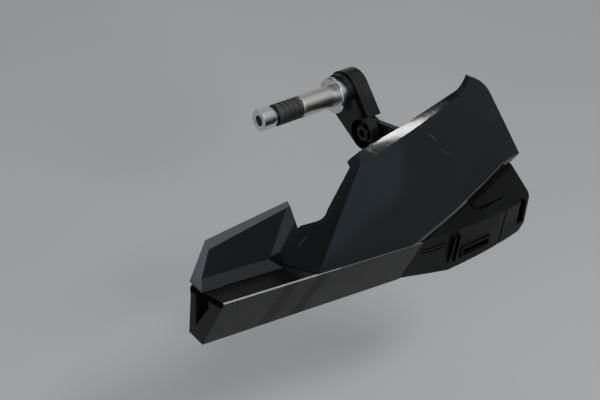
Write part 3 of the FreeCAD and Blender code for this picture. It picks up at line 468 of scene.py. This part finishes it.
def rubber_finish():
    """Moulded black rubber with a pale bloom"""
    material, tree, shader, place = start_material("moulded_rubber")
    bloom = ramp(tree, noise(tree, place, 90.0, 5.0, 0.65), 0.45, 0.75)
    tree.links.new(blend_colour(tree, bloom, (0.012, 0.012, 0.012, 1.0), (0.03, 0.03, 0.031, 1.0)),
                   shader.inputs["Base Color"])
    tree.links.new(ramp(tree, bloom, 0.0, 1.0, 0.58, 0.74), shader.inputs["Roughness"])
    bump(tree, shader, noise(tree, place, 1100.0, 4.0, 0.6), 0.25, 0.00012)
    return material


# Shapes

# The guard's own axes: s runs outboard along it and f forward from the bar end's axis
GUARD_PLACE = Vector((12.0 * MM, 0.0, 0.0))
GUARD_TURN = math.radians(10.0)
OUTBOARD = Vector((math.cos(GUARD_TURN), -math.sin(GUARD_TURN), 0.0))
FORWARD = Vector((-math.sin(GUARD_TURN), -math.cos(GUARD_TURN), 0.0))

# The fronts: the nose as (f, z), where along s they curve back and how tightly, how the upper faces
# and the housing's lean, the wall behind them and the depth of the skirt
NOSE = (118.0 * MM, -70.0 * MM)
WRAP_START = 15.0 * MM
WRAP_RADIUS = 330.0 * MM
UPPER_LEAN = 0.325
HOUSING_LEAN = -0.18
SKIN = 2.6 * MM
SKIRT_DEPTH = 11.0 * MM

# Insets of the housing's fronts: its face, and its gill, grille rim and fins, which stand proud
HOUSING_STEP = 1.6 * MM
HOUSING_INSETS = (HOUSING_STEP, -0.6 * MM, 0.2 * MM, -1.4 * MM)

# Even strips along the curved fronts: their width, their number and how near a cut takes a point
STRIP = 4.0 * MM
STRIPS = 23
CUT_REACH = 1e-6

# Joining the CAD's flat faces: points nearer than this are one, and faces that turn less are flat,
# with a stricter turn before a curved front is cut
SAME_POINT = 2e-6
FLAT_TURN = math.radians(0.3)
FLAT_TURN_FRONT = math.radians(0.05)

# How near a point and a face lie to a front, and how little the face turns from it, to follow it
FRONT_REACH = 0.35 * MM
FRONT_GAP = 0.2 * MM
FRONT_COSINE = math.cos(math.radians(1.5))

# The skirt leaves the main face along a rising crease: the crease's start as (s, z) and its rise,
# how much the skirt falls away, and the skirt as (lean, inset, tilt)
CREASE = (17.2 * MM, -59.4 * MM)
CREASE_RISE = 25.5 / 64.4
SKIRT_FALL = 0.47
SKIRT_FRONT = (UPPER_LEAN - SKIRT_FALL, SKIRT_FALL * (CREASE[1] - CREASE_RISE * CREASE[0] - NOSE[1]),
               SKIRT_FALL * CREASE_RISE)

# The raised line along the crease: its start past the crease's own along s, its step and points
LINE_START = 15.8 * MM
LINE_STEP = 2.0 * MM
LINE_POINTS = 26

# Corners of the wing's foot as (s, f, z) in millimetres: top, left, right and back
WING_FOOT = ((-112.6, 95.23, -62.0), (-153.0, 100.54, -69.3), (-103.5, 100.54, -69.3),
             (-104.5, 94.0, -69.3))

# The shell's top strip: where it looks, how nearly, its lowest height, its width with the taper
# past a point along s, and how far its shading tilts at its edges
RIM_UP = Vector((-0.33, -0.06, 0.94)).normalized()
RIM_COSINE = 0.992
RIM_LOW = -8.0 * MM
RIM_WIDTH = 8.5 * MM
RIM_TAPER_START = -6.1 * MM
RIM_TAPER = 0.052
RIM_CROWN = 0.08

# The carrier's edge radius, and the sides of a fine tube
CARRIER_EDGE = 0.3 * MM
TUBE_SIDES = 10

# The arm bolt's thread: its crest's radius, its depth and its steps in a turn
THREAD_CREST = 4.1 * MM
THREAD_DEPTH = 0.7 * MM
THREAD_STEPS = 28


def guard_point(s, f, z):
    """A place given by the guard's own axes"""
    return GUARD_PLACE + OUTBOARD * s + FORWARD * f + Vector((0.0, 0.0, z))


def front_f(s, z, lean, inset, tilt):
    """How far forward a leaning, curved front lies at (s, z)"""
    radius = WRAP_RADIUS - inset
    run = max(s - WRAP_START, 0.0)
    curve = math.sqrt(radius * radius - run * run)
    return NOSE[0] - inset - radius + curve - lean * (z - NOSE[1]) - tilt * s


def front_normal(place, lean, inset, tilt):
    """The outward normal of a leaning, curved front at a place from GUARD_PLACE"""
    run = max(place.dot(OUTBOARD) - WRAP_START, 0.0)
    radius = WRAP_RADIUS - inset
    slope = run / math.sqrt(radius * radius - run * run) + tilt
    return (FORWARD + OUTBOARD * slope + Vector((0.0, 0.0, lean))).normalized()


def front_gap(place, front):
    """How far behind a front a place from GUARD_PLACE lies"""
    return front_f(place.dot(OUTBOARD), place.z, *front) - place.dot(FORWARD)


def fronts_of(leans, insets):
    """Leaning fronts at several insets"""
    return [(lean, inset, 0.0) for lean in leans for inset in insets]


def even_strips(shape, fronts):
    """Cut the curved front into even upright strips and set them on its true curve"""
    for step in range(STRIPS):
        point = GUARD_PLACE + OUTBOARD * (WRAP_START + step * STRIP)
        parts = shape.verts[:] + shape.edges[:] + shape.faces[:]
        bmesh.ops.bisect_plane(shape, geom=parts, plane_co=point, plane_no=OUTBOARD, dist=CUT_REACH)
    for vert in shape.verts:
        place = vert.co - GUARD_PLACE
        gap = min((front_gap(place, front) for front in fronts), key=abs)
        if place.dot(OUTBOARD) > WRAP_START and abs(gap) < FRONT_REACH:
            vert.co += FORWARD * gap


def join_flats(shape, turn):
    """Join faces that turn less than an angle from each other"""
    bmesh.ops.dissolve_limit(shape, angle_limit=turn, verts=shape.verts, edges=shape.edges)


def clean_copy(node, fronts):
    """The node's own surface with its flat faces joined, as an edit mesh"""
    shape = bmesh.new()
    shape.from_mesh(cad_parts[node].data)
    bmesh.ops.remove_doubles(shape, verts=shape.verts, dist=SAME_POINT)
    if fronts:
        join_flats(shape, FLAT_TURN_FRONT)
        even_strips(shape, fronts)
    join_flats(shape, FLAT_TURN)
    for face in shape.faces:
        face.smooth = True
    return shape


def to_piece(shape, name, material, slot, *nodes):
    """An edit mesh as a piece of the guard that stands for CAD nodes"""
    mesh = bpy.data.meshes.new(name)
    shape.to_mesh(mesh)
    shape.free()
    mesh.materials.append(material)
    piece = bpy.data.objects.new(name, mesh)
    bpy.context.scene.collection.objects.link(piece)
    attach(piece, "root")
    if nodes:
        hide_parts(*nodes)
    return piece


def round_edges(piece, width, segments, angle):
    """Radius on the piece's edges sharper than an angle, with clean shading beside it"""
    edge = piece.modifiers.new("edge_radius", "BEVEL")
    edge.width = width
    edge.segments = segments
    edge.limit_method = "ANGLE"
    edge.angle_limit = math.radians(angle)
    edge.use_clamp_overlap = True
    edge.miter_outer = "MITER_ARC"
    flat = piece.modifiers.new("flat_faces", "WEIGHTED_NORMAL")
    flat.mode = "FACE_AREA"
    flat.weight = 50


def true_fronts(piece, fronts):
    """Bake the rounded edges and shade the curved front by its true normal"""
    graph = bpy.context.evaluated_depsgraph_get()
    rounded = piece.evaluated_get(graph)
    mesh = bpy.data.meshes.new_from_object(rounded, preserve_all_data_layers=True, depsgraph=graph)
    piece.modifiers.clear()
    piece.data = mesh
    normals = [corner.vector.copy() for corner in mesh.corner_normals]
    for face in mesh.polygons:
        middle = face.center - GUARD_PLACE
        for front in fronts:
            agreement = face.normal.dot(front_normal(middle, *front))
            if abs(front_gap(middle, front)) > FRONT_GAP or abs(agreement) < FRONT_COSINE:
                continue
            for corner in face.loop_indices:
                place = mesh.vertices[mesh.loops[corner].vertex_index].co - GUARD_PLACE
                normals[corner] = front_normal(place, *front) * math.copysign(1.0, agreement)
    mesh.normals_split_custom_set(normals)
    return piece


def crown_rim(piece):
    """Shade the shell's top strip as slightly crowned from front to back"""
    mesh = piece.data
    normals = [corner.vector.copy() for corner in mesh.corner_normals]
    for face in mesh.polygons:
        if face.normal.dot(RIM_UP) < RIM_COSINE or face.center.z < RIM_LOW:
            continue
        for corner in face.loop_indices:
            place = mesh.vertices[mesh.loops[corner].vertex_index].co - GUARD_PLACE
            width = RIM_WIDTH - RIM_TAPER * max(place.dot(OUTBOARD) - RIM_TAPER_START, 0.0)
            share = 1.0 - 2.0 * min(front_gap(place, (UPPER_LEAN, 0.0, 0.0)) / width, 1.0)
            normals[corner] = (face.normal + FORWARD * RIM_CROWN * share).normalized()
    mesh.normals_split_custom_set(normals)


def dress(node, name, material, slot, width, segments=3, angle=26.0, fronts=()):
    """A CAD node carried over with rounded edges and its finish"""
    piece = to_piece(clean_copy(node, fronts), name, material, slot, node)
    round_edges(piece, width, segments, angle)
    return true_fronts(piece, fronts) if fronts else piece


def close_ends(shape, rows):
    """Cap a strip of rows at both ends and turn its faces outwards"""
    shape.faces.new(rows[0])
    shape.faces.new(rows[-1][::-1])
    bmesh.ops.recalc_face_normals(shape, faces=shape.faces)
    return shape


def fine_tube(places, radius):
    """A thin closed tube through places, thinner towards both ends, as an edit mesh"""
    shape = bmesh.new()
    rows = []
    last = len(places) - 1
    turns = [2 * math.pi * side / TUBE_SIDES for side in range(TUBE_SIDES)]
    for index, place in enumerate(places):
        along = (places[min(index + 1, last)] - places[max(index - 1, 0)]).normalized()
        across = along.cross(Vector((0.0, 0.0, 1.0))).normalized()
        upright = across.cross(along)
        size = radius * min(1.0, 0.3 + 0.25 * min(index, last - index))
        rows.append([shape.verts.new(place + (across * math.cos(turn) + upright * math.sin(turn)) * size)
                     for turn in turns])
    for first, second in zip(rows, rows[1:]):
        for index in range(TUBE_SIDES):
            after = (index + 1) % TUBE_SIDES
            shape.faces.new((first[index], first[after], second[after], second[index])).smooth = True
    return close_ends(shape, rows)


def thread_ridge(start, centre, length, pitch):
    """A helical thread ridge along X that runs out at both ends, as an edit mesh"""
    shape = bmesh.new()
    turns = int(length / pitch)
    root = THREAD_CREST - THREAD_DEPTH
    rows = []
    for step in range(turns * THREAD_STEPS + 1):
        turn = 2 * math.pi * step / THREAD_STEPS
        x = start + pitch * step / THREAD_STEPS
        fade = min(1.0, step / THREAD_STEPS * 2, (turns * THREAD_STEPS - step) / THREAD_STEPS * 2)
        crest = THREAD_CREST - THREAD_DEPTH * (1 - fade)
        profile = ((-0.46 * pitch, root), (-0.08 * pitch, crest), (0.08 * pitch, crest),
                   (0.46 * pitch, root))
        rows.append([shape.verts.new((x + offset, centre[0] + r * math.cos(turn),
                                      centre[1] + r * math.sin(turn))) for offset, r in profile])
    for first, second in zip(rows, rows[1:]):
        for index in range(4):
            after = (index + 1) % 4
            shape.faces.new((first[index], first[after], second[after], second[index]))
    return close_ends(shape, rows)


# Operators, one for each piece or group of like pieces

class GUARD_OT_upper_shell(bpy.types.Operator):
    """Round the gloss shell's edges and give it its finish"""
    bl_idname = "guard.upper_shell"
    bl_label = "Upper shell"

    def execute(self, context):
        detail = context.scene.guard_detail
        material = gloss_shell_finish(context.scene.guard_finish)
        wall = SKIN * math.sqrt(1 + UPPER_LEAN * UPPER_LEAN)
        fronts = fronts_of((UPPER_LEAN,), (0.0, wall, SKIRT_DEPTH)) + [SKIRT_FRONT]
        shell = dress("upper_shell", "shell_moulding", material, "shell_gloss_black", detail.shell_edge,
                      angle=4.0, fronts=fronts)
        crown_rim(shell)
        self.fill_foot(material, detail.shell_edge)
        self.crease_line(detail.crease_line)
        return {"FINISHED"}

    def crease_line(self, radius):
        """The fine raised line along the crease between the main face and the skirt"""
        places = []
        for step in range(LINE_POINTS):
            s = CREASE[0] + LINE_START + LINE_STEP * step
            z = CREASE[1] + CREASE_RISE * (s - CREASE[0])
            places.append(guard_point(s, front_f(s, z, UPPER_LEAN, 0.0, 0.0), z))
        line = fine_tube(places, radius)
        # The line's light grey is a painted highlight along the crease
        to_piece(line, "shell_crease_line", crease_highlight_finish(), "shell_gloss_black")

    def fill_foot(self, material, radius):
        """The end of the wing's foot, which runs on in front of the valley beside the web"""
        shape = bmesh.new()
        top, left, right, back = [shape.verts.new(guard_point(s * MM, f * MM, z * MM))
                                  for s, f, z in WING_FOOT]
        for corners in ((top, left, right), (left, back, right), (top, back, left), (top, right, back)):
            shape.faces.new(corners)
        bmesh.ops.recalc_face_normals(shape, faces=shape.faces)
        front = [edge for edge in shape.edges if right in edge.verts and back not in edge.verts]
        bmesh.ops.bevel(shape, geom=front, offset=radius, segments=3, profile=0.5, affect="EDGES")
        to_piece(shape, "wing_foot", material, "shell_gloss_black")


class GUARD_OT_lower_panel(bpy.types.Operator):
    """Round the satin panel's edges and give it its finish"""
    bl_idname = "guard.lower_panel"
    bl_label = "Lower panel"

    def execute(self, context):
        detail = context.scene.guard_detail
        material = satin_panel_finish(context.scene.guard_finish)
        dress("lower_panel", "panel_moulding", material, "panel_satin_black", detail.moulding_edge,
              angle=5.0)
        return {"FINISHED"}


class GUARD_OT_vent_housing(bpy.types.Operator):
    """Round the vent housing's edges and give it its finish"""
    bl_idname = "guard.vent_housing"
    bl_label = "Vent housing"

    def execute(self, context):
        detail = context.scene.guard_detail
        material = matte_housing_finish(context.scene.guard_finish)
        leans = (UPPER_LEAN, HOUSING_LEAN)
        walls = [HOUSING_STEP + SKIN * math.sqrt(1 + lean * lean) for lean in leans]
        fronts = fronts_of(leans, [*HOUSING_INSETS, *walls])
        dress("vent_housing", "housing_moulding", material, "housing_matte_black", detail.moulding_edge,
              angle=4.0, fronts=fronts)
        return {"FINISHED"}


class GUARD_OT_rear_carrier(bpy.types.Operator):
    """Round the ribbed carrier's edges and give it its finish"""
    bl_idname = "guard.rear_carrier"
    bl_label = "Rear carrier"

    def execute(self, context):
        material = nylon_carrier_finish(context.scene.guard_finish)
        dress("rear_carrier", "carrier_moulding", material, "carrier_nylon", CARRIER_EDGE,
              segments=2, angle=40.0)
        return {"FINISHED"}


class GUARD_OT_castings(bpy.types.Operator):
    """Round the arm and the bracket and give them their powder coat"""
    bl_idname = "guard.castings"
    bl_label = "Arm and bracket"

    def execute(self, context):
        detail = context.scene.guard_detail
        material = powder_coat_finish(context.scene.guard_finish)
        dress("bar_end_arm", "arm_casting", material, "arm_black_coat", detail.casting_edge)
        dress("guard_bracket", "bracket_casting", material, "bracket_black_coat", detail.casting_edge)
        return {"FINISHED"}


class GUARD_OT_bar_end_parts(bpy.types.Operator):
    """Spacer, plug, sleeve and cone with their finishes"""
    bl_idname = "guard.bar_end_parts"
    bl_label = "Bar-end parts"

    def execute(self, context):
        detail = context.scene.guard_detail
        bright = turned_finish("turned_aluminium", (0.6, 0.61, 0.62, 1.0), (0.48, 0.49, 0.5, 1.0),
                               roughness=0.24, spacing=1.885 * MM)
        plug = turned_finish("turned_zinc_steel", (0.52, 0.52, 0.5, 1.0), (0.42, 0.42, 0.38, 1.0),
                             roughness=0.3, spacing=3.1416 * MM)
        dress("bar_end_spacer", "spacer_turned", bright, "spacer_bright", detail.metal_edge)
        dress("expander_cone", "cone_turned", bright, "spacer_bright", detail.metal_edge)
        dress("bar_plug", "plug_turned", plug, "zinc_steel", detail.metal_edge)
        dress("expander_sleeve", "sleeve_moulded", rubber_finish(), "sleeve_rubber",
              2 * detail.metal_edge)
        return {"FINISHED"}


class GUARD_OT_fasteners(bpy.types.Operator):
    """Bolts, nut, washers, screws and inserts with their finishes"""
    bl_idname = "guard.fasteners"
    bl_label = "Fasteners"

    def execute(self, context):
        width = context.scene.guard_detail.metal_edge
        zinc = plated_finish("zinc_plated", (0.5, 0.5, 0.48, 1.0), (0.4, 0.41, 0.36, 1.0), 0.3)
        oxide = plated_finish("black_oxide", (0.03, 0.03, 0.032, 1.0), (0.05, 0.048, 0.045, 1.0), 0.32)
        dark = plated_finish("black_zinc", (0.04, 0.04, 0.042, 1.0), (0.065, 0.06, 0.055, 1.0), 0.36)
        brass = plated_finish("turned_brass", (0.6, 0.43, 0.19, 1.0), (0.5, 0.34, 0.14, 1.0), 0.3)
        for node in ("bar_end_washer", "arm_nut_washer", "arm_nut", "bracket_bolts", "bracket_washers"):
            dress(node, node + "_plated", zinc, "zinc_steel", width, segments=2, angle=32.0)
        for node in ("bar_end_bolt", "arm_bolt", "arm_washer"):
            dress(node, node + "_oxide", oxide, "bolt_black_oxide", width, segments=2, angle=32.0)
        for node in ("shell_screws", "wing_screws", "panel_screws", "housing_screws"):
            dress(node, node + "_plated", dark, "screw_black", 0.5 * width, segments=1, angle=32.0)
        dress("threaded_inserts", "inserts_brass", brass, "insert_brass", width, segments=2, angle=32.0)
        return {"FINISHED"}


class GUARD_OT_thread(bpy.types.Operator):
    """Helical thread on the end of the arm bolt"""
    bl_idname = "guard.thread"
    bl_label = "Arm bolt thread"

    def execute(self, context):
        pitch = context.scene.guard_detail.thread_pitch
        low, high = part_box("arm_bolt")
        centre = ((low[1] + high[1]) / 2, (low[2] + high[2]) / 2)
        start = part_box("arm_nut")[1][0] - 2 * pitch
        shape = thread_ridge(start, centre, high[0] - start - 0.5 * pitch, pitch)
        to_piece(shape, "arm_bolt_thread", bpy.data.materials["black_oxide"], "bolt_black_oxide")
        return {"FINISHED"}


# Stage

def to_stage(shape, name, material):
    """An edit mesh as a piece of the stage"""
    mesh = bpy.data.meshes.new(name)
    shape.to_mesh(mesh)
    shape.free()
    mesh.materials.append(material)
    piece = bpy.data.objects.new(name, mesh)
    bpy.context.scene.collection.objects.link(piece)
    return piece


def soft_light(name, power, place, target, size, colour, roll):
    """A rectangular soft light that looks at a target and isn't seen itself"""
    data = bpy.data.lights.new(name, "AREA")
    data.shape = "RECTANGLE"
    data.size, data.size_y = size
    data.energy = power
    data.color = colour
    light = bpy.data.objects.new(name, data)
    bpy.context.scene.collection.objects.link(light)
    light.location = place
    light.rotation_euler = (Vector(target) - light.location).to_track_quat("-Z", "Y").to_euler()
    light.rotation_euler.rotate_axis("Z", math.radians(roll))
    light.visible_camera = False


# Lights: name, setting of its power, place, target, size, colour and roll in degrees
LIGHTS = (("key_behind", "key_power", (0.33, 0.846, 1.362), (-0.01, -0.09, 0.006), (0.04, 0.58),
           (1.0, 0.99, 0.97), 3.4),
          ("fill_front", "fill_power", (-1.1, -1.2, 0.9), (0.0, -0.08, -0.03), (1.4, 1.0),
           (0.95, 0.97, 1.0), 0.0),
          ("edge_light", "edge_power", (0.12, -0.82, 1.0), (-0.1, -0.1, -0.07), (0.5, 0.24),
           (1.0, 1.0, 1.0), 0.0),
          ("side_sky", "side_power", (-1.4, 1.5, -0.06), (-0.16, -0.06, -0.06), (0.9, 0.5),
           (0.8, 0.83, 1.0), 0.0))

# The studio's surround: its level, its colour and its tones, each with a direction, the cosines
# where it starts and is full, and its gain
STUDIO_LEVEL = 0.5
STUDIO_COLOUR = (0.95, 0.97, 1.0, 1.0)
STUDIO_TONES = (((0.0, 0.0, 1.0), 0.78, 0.98, 2.7), ((0.4, -0.92, 0.05), 0.7, 0.95, 0.55),
                ((-0.83, 0.02, 0.55), 0.86, 0.97, 0.22), ((0.6, 0.6, 0.5), 0.8, 0.95, 0.9),
                ((0.19, 0.56, 0.81), 0.88, 0.985, 0.3), ((-0.35, 0.83, 0.43), 0.87, 0.95, 0.25),
                ((0.2, -0.82, 0.53), 0.95, 0.99, 1.35))

# Cards that show only in the gloss: name, outline as (x, z), distance along Y, two tones, and
# whether it casts a shadow
CARDS = (("bluish_card",
          ((-0.06, 0.07), (0.178, 0.07), (0.1575, 0.004), (0.149, -0.025), (0.128, -0.038),
           (0.093, -0.049), (0.062, -0.068), (0.03, -0.079), (-0.003, -0.097), (-0.06, -0.11)),
          -0.575, (0.3, 0.39, 0.47, 1.0), (0.36, 0.44, 0.53, 1.0), False),
         ("dark_card", ((-0.16, -0.125), (0.035, -0.125), (0.035, -0.235), (-0.16, -0.235)),
          -0.575, (0.13, 0.15, 0.18, 1.0), (0.16, 0.17, 0.19, 1.0), False),
         ("small_flag", ((0.086, 0.08), (0.16, 0.08), (0.16, 0.42), (0.086, 0.42)),
          0.08, (0.06, 0.06, 0.065, 1.0), (0.08, 0.08, 0.085, 1.0), True))

BLACK = (0.0, 0.0, 0.0, 1.0)
FLOOR_SIZE = 6.0

# The camera: its sensor in millimetres, where it starts to see, and how far the frame's middle lies
# left of the guard's zero and below it
SENSOR_WIDTH = 36.0
CLIP_START = 0.01
FRAME_LEFT = 0.03308
FRAME_DOWN = 0.08308


class GUARD_OT_stage(bpy.types.Operator):
    """Floor, surround, soft lights, cards and the camera"""
    bl_idname = "guard.stage"
    bl_label = "Studio stage"

    def execute(self, context):
        stage = context.scene.guard_stage
        self.set_floor(stage)
        self.set_surround()
        for name, setting, *light in LIGHTS:
            soft_light(name, getattr(stage, setting), *light)
        for card in CARDS:
            self.set_card(*card)
        self.set_camera(stage)
        return {"FINISHED"}

    def set_floor(self, stage):
        """The pale floor, faintly clouded"""
        material, tree, shader, place = start_material("studio_floor")
        grey = stage.floor_colour
        cloud = ramp(tree, noise(tree, place, 1.2, 2.0), 0.3, 0.7)
        tree.links.new(blend_colour(tree, cloud, shade(grey, 0.96), shade(grey, 1.04)),
                       shader.inputs["Base Color"])
        shader.inputs["Roughness"].default_value = 0.85
        shader.inputs["Specular IOR Level"].default_value = 0.1
        shape = bmesh.new()
        bmesh.ops.create_grid(shape, x_segments=2, y_segments=2, size=FLOOR_SIZE)
        floor = to_stage(shape, "studio_floor", material)
        floor.location = (0.0, 0.0, CAD_BOX[0][2] - stage.floor_drop)

    def set_card(self, name, outline, distance, first, second, shadow):
        """A card seen only in the gloss of the shell"""
        material, tree, shader, place = start_material(name)
        shader.inputs["Base Color"].default_value = BLACK
        shader.inputs["Specular IOR Level"].default_value = 0.0
        shader.inputs["Emission Strength"].default_value = 1.0
        tone = ramp(tree, noise(tree, place, 9.0, 2.0), 0.3, 0.7)
        tree.links.new(blend_colour(tree, tone, first, second), shader.inputs["Emission Color"])
        shape = bmesh.new()
        shape.faces.new([shape.verts.new((x, distance, z)) for x, z in outline])
        card = to_stage(shape, name, material)
        for kind in ("camera", "diffuse", "transmission", "volume_scatter"):
            setattr(card, "visible_" + kind, False)
        card.visible_shadow = shadow

    def set_surround(self):
        """The studio's air, whose soft tones show in the gloss"""
        world = bpy.data.worlds.new("studio_air")
        world.use_nodes = True
        tree = world.node_tree
        background = tree.nodes["Background"]
        around = tree.nodes.new("ShaderNodeTexCoord").outputs["Generated"]
        level = STUDIO_LEVEL
        for direction, wide, narrow, gain in STUDIO_TONES:
            turned = dot_with(tree, around, Vector(direction).normalized())
            level = combine(tree, "MULTIPLY", ramp(tree, turned, wide, narrow, 1.0, gain), level)
        tree.links.new(level, background.inputs["Strength"])
        background.inputs["Color"].default_value = STUDIO_COLOUR
        bpy.context.scene.world = world

    def set_camera(self, stage):
        """The camera at the angles of the settings, upright"""
        turn, lift = stage.azimuth, stage.elevation
        back = Vector((math.sin(turn) * math.cos(lift), -math.cos(turn) * math.cos(lift),
                       math.sin(lift)))
        right = Vector((math.cos(turn), math.sin(turn), 0.0))
        up = back.cross(right)
        data = bpy.data.cameras.new("photo_camera")
        data.lens = stage.lens
        data.sensor_width = SENSOR_WIDTH
        data.clip_start = CLIP_START
        camera = bpy.data.objects.new("photo_camera", data)
        bpy.context.scene.collection.objects.link(camera)
        spot = GUARD_PLACE + back * stage.distance - right * FRAME_LEFT - up * FRAME_DOWN
        turned = Matrix((right, up, back)).transposed().to_4x4()
        camera.matrix_world = Matrix.Translation(spot) @ turned
        bpy.context.scene.camera = camera


class GUARD_PT_panel(bpy.types.Panel):
    """The guard's settings and pieces"""
    bl_idname = "GUARD_PT_panel"
    bl_label = "Hand Guard"
    bl_space_type = "VIEW_3D"
    bl_region_type = "UI"
    bl_category = "Hand Guard"

    def draw(self, context):
        """List the settings, then the operators"""
        scene = context.scene
        for group, title in ((scene.guard_finish, "Finishes"), (scene.guard_detail, "Details"),
                             (scene.guard_stage, "Stage")):
            box = self.layout.box()
            box.label(text=title)
            for key in group.__annotations__:
                box.prop(group, key)
        for operator in OPERATORS:
            self.layout.operator(operator.bl_idname)


GROUPS = (FinishSettings, DetailSettings, StageSettings)
OPERATORS = (GUARD_OT_upper_shell, GUARD_OT_lower_panel, GUARD_OT_vent_housing, GUARD_OT_rear_carrier,
             GUARD_OT_castings, GUARD_OT_bar_end_parts, GUARD_OT_fasteners, GUARD_OT_thread, GUARD_OT_stage)
CLASSES = GROUPS + OPERATORS + (GUARD_PT_panel,)


def register():
    """Add the classes and the settings"""
    for one in CLASSES:
        bpy.utils.register_class(one)
    bpy.types.Scene.guard_finish = bpy.props.PointerProperty(type=FinishSettings)
    bpy.types.Scene.guard_detail = bpy.props.PointerProperty(type=DetailSettings)
    bpy.types.Scene.guard_stage = bpy.props.PointerProperty(type=StageSettings)


def unregister():
    """Take the settings and the classes away"""
    del bpy.types.Scene.guard_finish
    del bpy.types.Scene.guard_detail
    del bpy.types.Scene.guard_stage
    for one in reversed(CLASSES):
        bpy.utils.unregister_class(one)


def main():
    """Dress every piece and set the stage"""
    register()
    bpy.ops.guard.upper_shell()
    bpy.ops.guard.lower_panel()
    bpy.ops.guard.vent_housing()
    bpy.ops.guard.rear_carrier()
    bpy.ops.guard.castings()
    bpy.ops.guard.bar_end_parts()
    bpy.ops.guard.fasteners()
    bpy.ops.guard.thread()
    bpy.ops.guard.stage()


if __name__ == "__main__":
    main()
